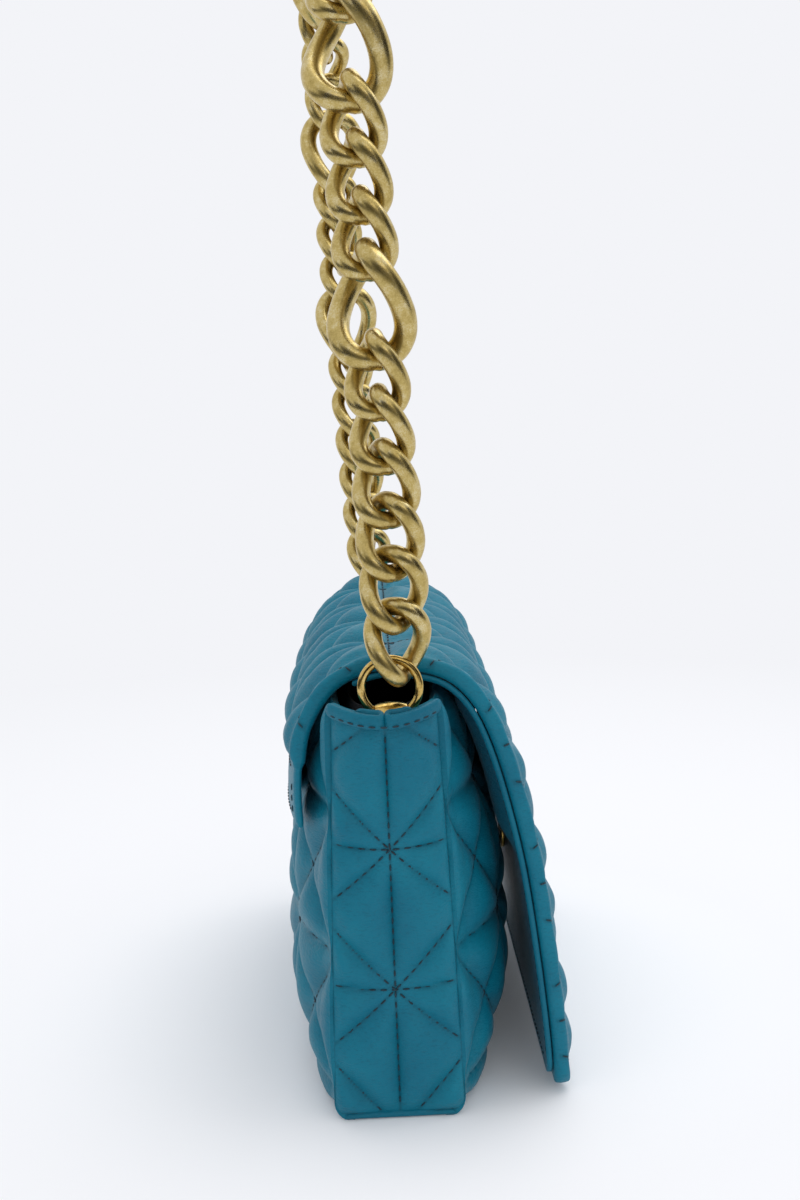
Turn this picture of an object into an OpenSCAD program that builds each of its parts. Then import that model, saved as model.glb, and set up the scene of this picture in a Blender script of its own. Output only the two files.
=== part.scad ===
// Quilted leather shoulder bag with a long front flap and a heavy chain strap.
// The bag stands on its base. X runs along the bag, Y through it with the
// flap's front towards -Y, and Z is up. The origin is the middle of the base.

/* [Bag body] */
// Length of the body, from gusset seam to gusset seam
bag_length = 250; // [200:2:320]
// Height of the body's open mouth above the base
bag_height = 168; // [145:1:190]
// Width of a gusset at the mouth
mouth_width = 43; // [36:1:52]
// Width of a gusset at the base
base_width = 52; // [46:1:66]
// How far the front panel swells past the gusset seams
front_swell = 26; // [12:0.5:27]
// How far the back panel swells past the gusset seams
back_swell = 19; // [12:0.5:24]
// Thickness of a padded outer panel
panel_thickness = 6; // [3:0.5:8]
// Thickness of a gusset's leather
gusset_thickness = 2; // [1.2:0.2:3]
// How far a gusset bulges outwards at its mouth, round the ring
gusset_bulge = 13; // [12:0.5:16]
// Thickness of the base panel
base_thickness = 3; // [2:0.5:5]
// Thickness of the stiff board under the lining
board_thickness = 2; // [1:0.5:3]
// Thickness of the cloth lining
lining_thickness = 1; // [0.6:0.1:1.6]

/* [Inner pocket] */
// Length of the slip pocket on the back of the lining
pocket_length = 150; // [100:5:200]
// Height of the slip pocket
pocket_height = 85; // [50:5:100]

/* [Flap] */
// Gap between a side of the flap and the strap's links
flap_side_gap = 3; // [1:0.5:12]
// Thickness of the flap's quilted outer layer
flap_thickness = 5.7; // [4:0.1:7]
// Thickness of the flap's inner facing
facing_thickness = 2; // [1:0.1:3]
// Thickness of the strip that joins the flap to the back panel
strip_thickness = 5; // [3:0.5:6]
// How far the flap's top stands above the mouth
flap_rise = 13.5; // [12:0.5:18]
// How far the flap's front edge stands out from the middle of the bag
flap_reach = 65; // [64:0.5:74]
// Height of the flap's front edge above the base
flap_clear = 2; // [2:1:30]
// Corner radius of the flap's front edge
flap_corner = 8; // [4:1:20]

/* [Magnetic snap] */
// Radius of the magnet and of its plate
snap_radius = 8; // [6:0.5:10]
// How far each half stands out of its leather
snap_proud = 1.2; // [0.8:0.1:1.5]
// Height of the snap above the base
snap_height = 76; // [55:1:95]

/* [Rings] */
// Radius of a strap ring, to the middle of its wire
ring_radius = 10.9; // [10:0.1:12]
// Thickness of a strap ring's wire
ring_wire = 3.2; // [2.6:0.1:3.6]
// How far a strap ring stands outside its gusset seam
ring_out = 3; // [2:0.5:4]
// Height of a strap ring's centre above the mouth
ring_lift = 7.5; // [6:0.5:9]
// How far a strap ring and its loop lie in front of the gusset's middle
ring_front = 2.8; // [0:0.2:4]
// Width of the leather loop that holds a ring
tab_width = 10; // [8:0.5:12]
// Thickness of that leather loop
tab_thickness = 1.5; // [1:0.1:1.8]
// Length of that loop's tail, below the ring
tab_tail = 26; // [14:1:40]

/* [Chain] */
// Length of a small link
link_length = 34; // [33:0.5:37]
// Width of a small link
link_width = 26; // [25:0.5:28]
// Thickness of a small link's wire
link_wire = 7; // [6:0.1:7.2]
// Length of a large link
large_length = 47.5; // [45:0.5:51]
// Width of a large link
large_width = 35; // [33:0.5:38]
// Thickness of a large link's wire
large_wire = 8.5; // [7.5:0.1:8.7]
// Small links between a ring and the first large link
end_links = 6; // [2:1:8]
// Small links between two large links
mid_links = 3; // [1:1:4]
// Number of large links
large_links = 7; // [3:2:9]
// How far an end of the strap lies beside its ring's middle: in front of it
// at the left ring, and behind it at the right ring
strap_side = 4; // [0:0.5:4.5]
// Degrees that the strap's left leg leans back
left_lean = 1.3; // [0:0.1:3]
// Degrees that the strap's right leg leans back
right_lean = 4.2; // [0:0.1:6]

/* [Hidden] */
// Play between two pieces that lie against each other
play = 0.3;
// Overrun of every cut
over = 1;
// Facets round a turned shape
$fn = 48;
// Sides of a link's wire, and rings of points round a link
wire_sides = 6;
link_rings = 18;
// Points along a panel, up a panel and round a lining
panel_steps = 14;
rise_steps = 9;
gusset_steps = 8;

// Angle through which a link twists from its bottom to its top
link_twist = -105;
// Angle at which a link faces, so that its upper end lies across its ring
link_turn = -link_twist / 2;
// Extra turn of the first link, whose lower end has to pass through its ring,
// and the number of links over which that turn fades out
first_turn = 60;
turned_links = 4;
function roll(k) = first_turn * max(0, 1 - (k - 1) / turned_links);
// How square a link's outline is
link_square_share = 0.8;
// How round a panel's ends are, and how its swell rises and falls
end_power = 4;
swell_skew_share = 0.75;
swell_full_share = 0.8;
gusset_power = 3;

small_reach = link_length / 2 - link_wire;
large_reach = large_length / 2 - large_wire;
chain_links = 2 * end_links + large_links + mid_links * (large_links - 1);
function is_large(k) =
    k > end_links && k <= chain_links - end_links
    && (k - end_links - 1) % (mid_links + 1) == 0;
function reach(k) = is_large(k) ? large_reach : small_reach;
function pitch(k) = reach(k - 1) + reach(k) - play;
// Distance along the strap from the first link's centre to link k's
function run_to(k) = k <= 1 ? 0 : run_to(k - 1) + pitch(k);

half_length = bag_length / 2;
panel_half = half_length - gusset_thickness - play;
ring_x = half_length + ring_out;
flap_length = 2 * (ring_x - link_width / 2 - flap_side_gap);
ring_z = bag_height + ring_lift;
hook_radius = ring_radius - ring_wire / 2 - play - link_wire / 2;
first_z = ring_z + sqrt(pow(hook_radius, 2) - pow(strap_side, 2))
        + (link_length - link_wire) / 2;
leg_rise = (run_to(chain_links) - PI * ring_x) / 2;
arch_z = first_z + leg_rise;

// How far the fold's roll stands behind the mouth, and above it
fold_back = 2.1;
fold_lift = 1;
// Flap's middle line as [y, z], from its fold over the front to its edge
flap_stack = flap_thickness + play + facing_thickness;
fold_radius = flap_stack / 2;
fold_y = mouth_width / 2 + fold_radius + fold_back;
fold_z = bag_height + fold_radius + fold_lift;
flap_top_z = bag_height + flap_rise;
flap_fall = flap_top_z - flap_clear;
// Points over the front, as shares of the reach outwards and of the fall
flap_front_shares = [
    [0, 0], [0.22, 0.007], [0.41, 0.033], [0.56, 0.091], [0.67, 0.18],
    [0.77, 0.31], [0.86, 0.47], [0.93, 0.67], [0.98, 0.86], [1, 1]
];
// Place of the one point between the fold and the flap's top
flap_back_shares = [0.46, 0.013];
flap_line = concat(
    [[fold_y, fold_z],
     [fold_y * flap_back_shares[0], flap_top_z - flap_fall * flap_back_shares[1]]],
    [for (p = flap_front_shares) [-flap_reach * p[0], flap_top_z - flap_fall * p[1]]]);

// Colours
leather_blue = [0.02, 0.42, 0.48];
leather_dark = [0.01, 0.33, 0.39];
lining_black = [0.05, 0.06, 0.07];
old_gold = [0.66, 0.55, 0.27];

function link_name(k) = str("link_", k < 10 ? "0" : "", k);

// Body's width at height z, between the gusset seams
function seam_width(z) = base_width + (mouth_width - base_width) * z / bag_height;
// How far a panel of a given swell stands out at x along the bag and height z
function swell(x, z, full) = let (
        s = min(max(z / bag_height, 0), 1),
        u = min(abs(x) / panel_half, 1))
    full * sqrt(1 - pow(u, end_power))
    * pow(sin(180 * pow(s, swell_skew_share)), swell_full_share);
function panel_y(x, z, full) = seam_width(z) / 2 + swell(x, z, full);
// The same at any height, on the flat facets between the panel's own levels
function facet_y(x, z, full) = let (
        step = bag_height / rise_steps,
        low = min(floor(z / step), rise_steps - 1) * step,
        share = (z - low) / step)
    panel_y(x, low, full) * (1 - share) + panel_y(x, low + step, full) * share;
// Steps from -half to half, closer together at the ends
function along(half, n) = [for (i = [0:n]) half * sin(90 * (2 * i / n - 1))];

// Solid through closed rings of points. Each ring goes up one side and back
// down the other, and the first and last rings are closed across.
module loft(rings) {
    n = len(rings[0]);
    m = len(rings);
    h = n / 2;
    last = (m - 1) * n;
    faces = concat(
        [for (i = [0:m - 2], j = [0:n - 1])
            [i * n + j, (i + 1) * n + j, i * n + (j + 1) % n]],
        [for (i = [0:m - 2], j = [0:n - 1])
            [i * n + (j + 1) % n, (i + 1) * n + j, (i + 1) * n + (j + 1) % n]],
        [for (j = [0:h - 2]) [j, j + 1, n - 1 - j]],
        [for (j = [0:h - 2]) [j + 1, n - 2 - j, n - 1 - j]],
        [for (j = [0:h - 2]) [last + j + 1, last + j, last + n - 1 - j]],
        [for (j = [0:h - 2]) [last + n - 2 - j, last + j + 1, last + n - 1 - j]]);
    polyhedron([for (r = rings) each r], faces);
}

// Padded panel of a given swell, facing the front
module panel(full) {
    loft([for (x = along(panel_half, panel_steps))
        concat(
            [for (i = [0:rise_steps]) let (z = bag_height * i / rise_steps)
                [x, -panel_y(x, z, full), z]],
            [for (i = [rise_steps:-1:0]) let (z = bag_height * i / rise_steps)
                [x, -panel_y(x, z, full) + panel_thickness, z]])]);
}

module front_panel() {
    color(leather_blue)
    difference() {
        panel(front_swell);
        translate([0, snap_y + over, snap_height])
            rotate([90, 0, 0])
            cylinder(r = snap_radius + play, h = snap_depth + 2 * over);
    }
}

module back_panel() {
    color(leather_blue)
    mirror([0, 1, 0]) panel(back_swell);
}

// Gusset at the -X end. Its mouth bulges outwards round the strap ring.
module gusset() {
    loft([for (i = [0:rise_steps]) let (
            z = bag_height * i / rise_steps,
            w = seam_width(z) / 2,
            out = gusset_bulge * pow(i / rise_steps, gusset_power))
        concat(
            [for (j = [0:gusset_steps]) let (y = w * (2 * j / gusset_steps - 1))
                [-half_length - out * (1 - pow(y / w, 2)), y, z]],
            [for (j = [gusset_steps:-1:0]) let (y = w * (2 * j / gusset_steps - 1))
                [-half_length - out * (1 - pow(y / w, 2)) + gusset_thickness, y, z]])]);
}

module left_gusset() {
    color(leather_blue) gusset();
}

module right_gusset() {
    color(leather_blue) mirror([1, 0, 0]) gusset();
}

inside_half = panel_half - play;
floor_half = base_width / 2 - panel_thickness - play;

module base_panel() {
    color(leather_dark)
    translate([-inside_half, -floor_half, 0])
        cube([2 * inside_half, 2 * floor_half, base_thickness]);
}

board_z = base_thickness + play;
module base_board() {
    inset = lining_thickness + play;
    color(lining_black)
    translate([-inside_half + inset, -floor_half + inset, board_z])
        cube([2 * (inside_half - inset), 2 * (floor_half - inset), board_thickness]);
}

// Lining: a cup that follows the panels inside and stands on the board
lining_z = board_z + board_thickness + play;
lining_top = bag_height - play;
lining_play = 1.5;
lining_shrink = panel_thickness + lining_play;
panel_xs = along(panel_half, panel_steps);
function lining_ring(z, inset) = let (
        n = panel_steps,
        end = panel_xs[n - 1] - inset,
        xs = [for (i = [1:n - 1]) min(max(panel_xs[i], -end), end)])
    concat(
        [for (x = xs) [x, -(facet_y(x, z, front_swell) - lining_shrink - inset), z]],
        [for (i = [n - 2:-1:0])
            [xs[i], facet_y(xs[i], z, back_swell) - lining_shrink - inset, z]]);
function lining_level(i) =
    i == 0 ? lining_z : i == rise_steps ? lining_top : bag_height * i / rise_steps;

module lining() {
    color(lining_black)
    loft(concat(
        [for (i = [0:rise_steps]) lining_ring(lining_level(i), 0)],
        [for (i = [rise_steps:-1:1]) lining_ring(lining_level(i), lining_thickness)],
        [lining_ring(lining_z + lining_thickness, lining_thickness)]));
}

// Slip pocket: a sheet that stands off the back of the lining
pocket_top = lining_top - 2 * panel_thickness;
pocket_play = 0.9;
pocket_gap = lining_shrink + lining_thickness + pocket_play;
module slip_pocket() {
    color(lining_black)
    loft([for (i = [0:panel_steps]) let (
            x = pocket_length * (i / panel_steps - 1 / 2))
        concat(
            [for (j = [0:rise_steps]) let (z = pocket_top - pocket_height * (1 - j / rise_steps))
                [x, facet_y(x, z, back_swell) - pocket_gap - lining_thickness, z]],
            [for (j = [rise_steps:-1:0]) let (z = pocket_top - pocket_height * (1 - j / rise_steps))
                [x, facet_y(x, z, back_swell) - pocket_gap, z]])]);
}

// Unit normal of a line of points at point i, and the line moved along it
function heading(p, i) = let (
        a = p[max(i - 1, 0)], b = p[min(i + 1, len(p) - 1)], d = b - a)
    [-d[1], d[0]] / norm(d);
function moved(p, by) = [for (i = [0:len(p) - 1]) p[i] + by * heading(p, i)];
// Flat band between two distances from a line of points
module band(p, low, high) {
    polygon(concat(moved(p, low), [for (i = [len(p) - 1:-1:0]) moved(p, high)[i]]));
}
// Stands a [y, z] shape up and draws it out along the bag
module along_bag(length) {
    translate([-length / 2, 0, 0])
        rotate([90, 0, 90])
        linear_extrude(height = length) children();
}

// Cuts the flap's two front corners round
module flap_corners() {
    below = flap_clear - fold_radius - over;
    for (side = [-1, 1])
        translate([side * flap_length / 2, 0, below])
        rotate([90, 0, 0])
        linear_extrude(height = 2 * flap_reach)
        difference() {
            translate([-flap_corner, 0]) square([2 * flap_corner, flap_corner + fold_radius + over]);
            translate([-side * flap_corner, flap_corner + fold_radius + over])
                circle(r = flap_corner);
            translate([-side * 2 * flap_corner - flap_corner, 0])
                square([2 * flap_corner, flap_corner * 2]);
        }
}

module flap_panel() {
    color(leather_blue)
    difference() {
        along_bag(flap_length) {
            band(flap_line, -fold_radius, flap_thickness - fold_radius);
            translate([fold_y, fold_z]) circle(r = fold_radius);
        }
        flap_corners();
    }
}

// The facing starts clear of the fold and ends short of the flap's edge
facing_line = [for (i = [1:len(flap_line) - 1]) flap_line[i]];
module flap_facing() {
    low = flap_thickness + play - fold_radius;
    color(leather_dark)
    difference() {
        along_bag(flap_length - 2 * play)
            band(facing_line, low, low + facing_thickness);
        flap_corners();
        translate([0, 0, snap_height])
            rotate([90, 0, 0])
            cylinder(r = snap_radius + play, h = 2 * flap_reach);
    }
}

// Strip that is sewn to the back panel and carries the flap's fold
strip_low_share = 0.7;
strip_low = bag_height * strip_low_share;
strip_y = panel_y(0, strip_low, back_swell) + play + strip_thickness / 2;
// Points from the fold down, as shares of the way out to strip_y and of the height
strip_shares = [
    [-0.1, 0.985], [0.35, 0.945], [0.84, 0.88], [1, 0.79], [1, strip_low_share]];
// Start of the strip inside the fold's roll, as shares of its radius
strip_start_shares = [-0.25, -0.5];
strip_line = concat(
    [[fold_y, fold_z] + fold_radius * strip_start_shares],
    [for (p = strip_shares) [fold_y + (strip_y - fold_y) * p[0], bag_height * p[1]]]);
module flap_strip() {
    half = strip_thickness / 2;
    color(leather_blue)
    difference() {
        along_bag(flap_length) band(strip_line, -half, half);
        translate([-half_length, fold_y, fold_z])
            rotate([0, 90, 0])
            cylinder(r = fold_radius + play, h = bag_length);
    }
}

// Magnetic snap: a socket let into the front panel and a stud let into the facing
snap_depth = 3;
snap_y = -panel_y(0, snap_height, front_swell) + snap_depth - snap_proud;
module snap_socket() {
    color(old_gold)
    translate([0, snap_y, snap_height])
        rotate([90, 0, 0])
        cylinder(r = snap_radius, h = snap_depth);
}

// Place of a line at height z, looked for from its point i on
function line_y(p, z, i = 0) =
    i >= len(p) - 2 || p[i + 1][1] <= z
    ? p[i][0] + (p[i + 1][0] - p[i][0]) * (z - p[i][1]) / (p[i + 1][1] - p[i][1])
    : line_y(p, z, i + 1);
// First of the facing's points that lies over the front
front_start = 3;
stud_y = line_y(facing_line, snap_height, front_start) + fold_radius;
// Facing left behind the stud, because the flap slopes there and the stud is flat
stud_seat = 1.5;
module snap_stud() {
    color(old_gold)
    translate([0, stud_y + snap_proud, snap_height])
        rotate([90, 0, 0])
        cylinder(r = snap_radius, h = facing_thickness + snap_proud - stud_seat);
}

// Strap ring at the -X end, in the plane across the bag. Its wire is flat where
// the leather and the links have worn it, inside and outside.
ring_wear = 0.1;
module ring() {
    translate([-ring_x, -ring_front, ring_z])
        rotate([0, 90, 0])
        rotate_extrude() translate([ring_radius, 0])
        intersection() {
            circle(d = ring_wire, $fn = 20);
            square([ring_wire - 2 * ring_wear, ring_wire], center = true);
        }
}

// Leather loop round the ring's lowest point, with its tail down the gusset
ring_climb = ring_radius - sqrt(pow(ring_radius, 2) - pow(tab_width / 2, 2));
tab_bore = ring_wire / 2 + play + ring_climb;
tab_z = ring_z - ring_radius;
module tab() {
    outer = tab_bore + tab_thickness;
    translate([-ring_x, tab_width / 2 - ring_front, tab_z])
        rotate([90, 0, 0])
        linear_extrude(height = tab_width)
        difference() {
            union() {
                circle(r = outer);
                translate([outer - 2 * tab_thickness, -tab_tail])
                    square([2 * tab_thickness, tab_tail]);
            }
            circle(r = tab_bore);
        }
}

// Bent metal sleeve that saves the loop's top from the ring
sleeve_thickness = 0.8;
module ring_sleeve() {
    inner = tab_bore + tab_thickness + play;
    width = tab_width - 2 * play;
    translate([-ring_x, width / 2 - ring_front, tab_z])
        rotate([90, 0, 0])
        linear_extrude(height = width)
        intersection() {
            difference() {
                circle(r = inner + sleeve_thickness);
                circle(r = inner);
            }
            translate([-2 * inner, 0]) square([4 * inner, 2 * inner]);
        }
}

module left_ring() { color(old_gold) ring(); }
module right_ring() { color(old_gold) mirror([1, 0, 0]) ring(); }
module left_tab() { color(leather_dark) tab(); }
module right_tab() { color(leather_dark) mirror([1, 0, 0]) tab(); }
module left_ring_sleeve() { color(old_gold) ring_sleeve(); }
module right_ring_sleeve() { color(old_gold) mirror([1, 0, 0]) ring_sleeve(); }

// Twisted oval link, centred, with its length along Z
function signed(v, p) = sign(v) * pow(abs(v), p);
function link_point(length, width, wire, t) = let (
        z = (length - wire) / 2 * signed(sin(t), link_square_share),
        r = (width - wire) / 2 * signed(cos(t), link_square_share),
        turn = link_turn + link_twist * z / (length - wire))
    [r * cos(turn), r * sin(turn), z];
function unit(v) = v / norm(v);
module curb_link(length, width, wire) {
    n = link_rings;
    m = wire_sides;
    mid = [for (i = [0:n - 1]) link_point(length, width, wire, 360 * (i + 1 / 2) / n)];
    points = [for (i = [0:n - 1]) let (
            t = unit(mid[(i + 1) % n] - mid[(i + n - 1) % n]),
            o = unit(mid[i] - (mid[i] * t) * t),
            b = cross(t, o))
        each [for (j = [0:m - 1]) let (a = 360 * j / m)
            mid[i] + wire / 2 * (cos(a) * o + sin(a) * b)]];
    polyhedron(points, concat(
        [for (i = [0:n - 1], j = [0:m - 1])
            [i * m + j, i * m + (j + 1) % m, (i + 1) % n * m + j]],
        [for (i = [0:n - 1], j = [0:m - 1])
            [i * m + (j + 1) % m, (i + 1) % n * m + (j + 1) % m, (i + 1) % n * m + j]]));
}

// Place of a point on the strap's arch: up one leg, over and down the other
arch_run = PI * ring_x;
function arch_angle(s) =
    s < leg_rise ? 0 : s > leg_rise + arch_run ? 180 : 180 * (s - leg_rise) / arch_run;
function arch_plane(s) = let (a = arch_angle(s))
    a == 0 ? [-ring_x, first_z + s]
    : a == 180 ? [ring_x, arch_z - (s - leg_rise - arch_run)]
    : [-ring_x * cos(a), arch_z + ring_x * sin(a)];
// The arch leans back a little, more on the right than on the left
function lean(s) =
    left_lean + (right_lean - left_lean) * s / (2 * leg_rise + arch_run);
// Its place in front of the rings or behind them
function side_shift(s) = strap_side * (2 * s / (2 * leg_rise + arch_run) - 1);
function arch_place(s) = let (p = arch_plane(s))
    [p[0], side_shift(s) - ring_front + (p[1] - ring_z) * tan(lean(s)), p[1]];
module chain_link(k) {
    s = run_to(k);
    color(old_gold)
    translate(arch_place(s))
        rotate([-lean(s), 0, 0])
        rotate([0, arch_angle(s), 0])
        rotate([0, 0, roll(k)])
        if (is_large(k)) curb_link(large_length, large_width, large_wire);
        else curb_link(link_length, link_width, link_wire);
}

front_panel();
back_panel();
left_gusset();
right_gusset();
base_panel();
base_board();
lining();
slip_pocket();
flap_strip();
flap_panel();
flap_facing();
snap_stud();
snap_socket();
left_tab();
right_tab();
left_ring_sleeve();
right_ring_sleeve();
left_ring();
right_ring();
for (k = [1:chain_links]) chain_link(k);
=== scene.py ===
# %% [markdown]
# # A quilted shoulder bag with a chain strap
# The bag is a padded leather body with a long flap, and its strap is a heavy
# curb chain on two rings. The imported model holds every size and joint. This
# lesson puts the leather, the thread and the metal on it, piece by piece.
# All shapes are worked out in millimetres and written in metres.

# %% Frame
import math

import bpy
import numpy as np
from mathutils import Matrix, Vector


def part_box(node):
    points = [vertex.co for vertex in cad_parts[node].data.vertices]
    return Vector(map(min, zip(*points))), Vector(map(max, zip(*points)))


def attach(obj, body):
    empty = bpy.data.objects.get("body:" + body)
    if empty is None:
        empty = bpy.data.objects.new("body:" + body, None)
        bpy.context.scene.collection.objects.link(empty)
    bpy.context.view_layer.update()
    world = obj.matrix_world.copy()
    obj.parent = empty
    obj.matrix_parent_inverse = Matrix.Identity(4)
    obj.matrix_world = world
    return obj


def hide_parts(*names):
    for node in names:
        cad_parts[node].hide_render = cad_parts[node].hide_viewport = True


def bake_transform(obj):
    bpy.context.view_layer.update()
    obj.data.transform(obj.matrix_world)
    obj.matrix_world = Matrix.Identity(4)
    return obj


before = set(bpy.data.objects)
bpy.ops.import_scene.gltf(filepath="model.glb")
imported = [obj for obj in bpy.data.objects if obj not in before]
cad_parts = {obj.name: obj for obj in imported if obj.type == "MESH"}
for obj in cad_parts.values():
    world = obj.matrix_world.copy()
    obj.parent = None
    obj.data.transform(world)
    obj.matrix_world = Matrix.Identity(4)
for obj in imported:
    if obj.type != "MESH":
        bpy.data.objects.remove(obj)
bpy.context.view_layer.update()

MM = 0.001
bpy.context.scene.view_settings.view_transform = "Standard"

# %% [markdown]
# ## The camera
# The photograph looks along the bag from a little above. A camera can be moved
# by hand until its picture fits. Here its place and angles were fitted to
# points of the picture, so they are written as numbers. It is turned a little
# towards the flap and rolled, because upright edges lean left in the picture.

# %% Camera
CAMERA_PLACE = (-0.6503, 0.0032, 0.2909)
LENS_MM = 42.75
# The sensor's size counts along the longer side of the picture, its height
SENSOR_MM = 36
YAW = math.radians(1.2)
PITCH = math.radians(8.96)
ROLL = math.radians(2.28)

ahead = Vector((math.cos(PITCH) * math.cos(YAW), -math.cos(PITCH) * math.sin(YAW), -math.sin(PITCH)))
level_right = ahead.cross(Vector((0, 0, 1))).normalized()
level_up = level_right.cross(ahead)
right = level_right * math.cos(ROLL) - level_up * math.sin(ROLL)
up = level_up * math.cos(ROLL) + level_right * math.sin(ROLL)
lens = bpy.data.cameras.new("camera")
lens.lens = LENS_MM
lens.sensor_width = SENSOR_MM
camera = bpy.data.objects.new("camera", lens)
bpy.context.collection.objects.link(camera)
camera.matrix_world = Matrix.Translation(CAMERA_PLACE) @ Matrix((right, up, -ahead)).transposed().to_4x4()
bpy.context.scene.camera = camera
print("camera looks along", [round(v, 3) for v in ahead])

# %% [markdown]
# ## Small tools
# Blender's operators act on all that is selected, so each step first selects
# one object alone. A primitive gives the start of each piece. Where a piece has
# pillows or folds, a formula then moves its vertices, because a pillow between
# two seams is easier to say than to push.

# %% Tools for objects
def alone(piece):
    bpy.ops.object.select_all(action="DESELECT")
    piece.select_set(True)
    bpy.context.view_layer.objects.active = piece
    return piece


def primitive(name, operator, **settings):
    """Adds one of Blender's primitives with nothing else selected."""
    bpy.ops.object.select_all(action="DESELECT")
    operator(**settings)
    piece = bpy.context.object
    piece.name = name
    return piece


def apply_place(piece):
    alone(piece)
    bpy.ops.object.transform_apply(location=True, rotation=True, scale=True)
    return piece


def apply_modifier(piece, kind, **settings):
    """Gives a piece one modifier with its settings, and applies it."""
    modifier = piece.modifiers.new(kind.lower(), kind)
    for key, value in settings.items():
        setattr(modifier, key, value)
    alone(piece)
    bpy.ops.object.modifier_apply(modifier=modifier.name)
    return piece


def smooth(piece, degrees=50):
    alone(piece)
    bpy.ops.object.shade_smooth_by_angle(angle=math.radians(degrees))
    return piece


# %% Tools for points
MERGE = 1e-6


def points_of(piece):
    points = np.empty(len(piece.data.vertices) * 3)
    piece.data.vertices.foreach_get("co", points)
    return points.reshape(-1, 3)


def move_points(piece, points):
    """Writes the vertices' places, given in millimetres."""
    piece.data.vertices.foreach_set("co", (points * MM).ravel())
    piece.data.update()
    return piece


def unit(vectors):
    return vectors / np.maximum(np.linalg.norm(vectors, axis=-1, keepdims=True), MERGE)


def facing_of(points):
    """Unit normals of a sheet of points, from its own rows and columns."""
    down, along = np.gradient(points, axis=0), np.gradient(points, axis=1)
    return unit(np.cross(along, down))


def run_along(path):
    """The way along a line of points, up to each of them."""
    return np.concatenate([[0], np.cumsum(np.linalg.norm(np.diff(path, axis=0), axis=1))])


def crowded(count, crowding):
    """Shares from -1 to 1 that lie closer together towards both ends."""
    even = np.linspace(-1, 1, count + 1)
    return np.sin(even * math.pi / 2) * crowding + even * (1 - crowding)


def fade(value, start, end):
    """Rises smoothly from 0 at start to 1 at end."""
    share = np.clip((value - start) / (end - start), 0, 1)
    return share ** 2 * (3 - 2 * share)


# %% [markdown]
# ## From a sheet of points to a closed piece
# A sheet of leather or cloth has two faces and an edge all round. A plane with a
# Solidify modifier would give it, but then both faces have the same shape. Here
# the two faces are two sheets of points. A flat grid is wrapped round both, its
# doubles are merged where it closes, and its normals are turned outwards.

# %% Sheets
def wrap_grid(name, points):
    """Lays a grid through rows of points. Where it should close, the points coincide."""
    rows, columns = points.shape[0] - 1, points.shape[1] - 1
    piece = primitive(name, bpy.ops.mesh.primitive_grid_add, x_subdivisions=columns, y_subdivisions=rows,
                      size=2)
    return move_points(piece, points.reshape(-1, 3))


def close_up(piece):
    alone(piece)
    bpy.ops.object.mode_set(mode="EDIT")
    bpy.ops.mesh.select_all(action="SELECT")
    bpy.ops.mesh.remove_doubles(threshold=MERGE)
    bpy.ops.mesh.normals_make_consistent(inside=False)
    bpy.ops.object.mode_set(mode="OBJECT")
    return piece


def closed_shell(name, outer, inner, seam_shade=None):
    """A wall between two sheets of points, each rows by columns by 3, closed all round."""
    ring = np.concatenate([outer, inner[:, ::-1], outer[:, :1]], axis=1)
    middle = (outer + inner) / 2
    ends = [np.concatenate([m, m[::-1], m[:1]], axis=0)[None] for m in (middle[0], middle[-1])]
    points = np.concatenate([ends[0], ring, ends[1]], axis=0)
    piece = wrap_grid(name, points)
    # The mask for painted shade beside the seams is stored on the points, and the leather material darkens
    # its colour there
    if seam_shade is not None:
        depth = np.zeros(points.shape[:2])
        depth[1:-1, :outer.shape[1]] = seam_shade
        depth[1:-1, -1] = seam_shade[:, 0]
        piece.data.attributes.new("seam_shade", "FLOAT", "POINT").data.foreach_set("value", depth.ravel())
    return smooth(close_up(piece))


# %% [markdown]
# ## Tools for materials
# A material is a small network of nodes. One function adds a node with its
# settings, so that each finish below reads as a list of what it is made of.
# Colours are sRGB hex values, as a paint program shows them, and rgb() turns
# them to the linear values that Blender works with.

# %% Tools for materials
def rgb(code):
    parts = [int(code[i:i + 2], 16) / 255 for i in (1, 3, 5)]
    return tuple(c / 12.92 if c <= 0.04045 else ((c + 0.055) / 1.055) ** 2.4 for c in parts) + (1,)


def add(tree, kind, inputs=None, stops=(), **settings):
    """Adds a node. Its inputs are sockets to link or plain values, its settings properties or
    inputs by name, and its stops (place, colour or grey) pairs."""
    node = tree.nodes.new(kind)
    for key, value in settings.items():
        if hasattr(node, key):
            setattr(node, key, value)
        else:
            node.inputs[key.replace("_", " ")].default_value = value
    for socket, value in (inputs or {}).items():
        if isinstance(value, bpy.types.NodeSocket):
            tree.links.new(value, node.inputs[socket])
        else:
            node.inputs[socket].default_value = value
    for number, (at, colour) in enumerate(stops):
        elements = node.color_ramp.elements
        element = elements[number] if number < len(elements) else elements.new(at)
        element.position = at
        element.color = colour if isinstance(colour, tuple) else (colour, colour, colour, 1)
    return node


def material(name):
    """A new material with its node tree, its shader and the place of each point on the piece."""
    made = bpy.data.materials.new(name)
    made.use_nodes = True
    tree = made.node_tree
    tree.nodes.clear()
    shader = add(tree, "ShaderNodeBsdfPrincipled")
    add(tree, "ShaderNodeOutputMaterial", {"Surface": shader.outputs["BSDF"]})
    return made, tree, shader, add(tree, "ShaderNodeTexCoord").outputs["Object"]


def complete(tree, shader, colour, bump, **settings):
    """Links a finish's colour and bump to its shader and sets the rest."""
    tree.links.new(colour, shader.inputs["Base Color"])
    tree.links.new(bump.outputs["Normal"], shader.inputs["Normal"])
    for key, value in settings.items():
        shader.inputs[key.replace("_", " ")].default_value = value
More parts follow.
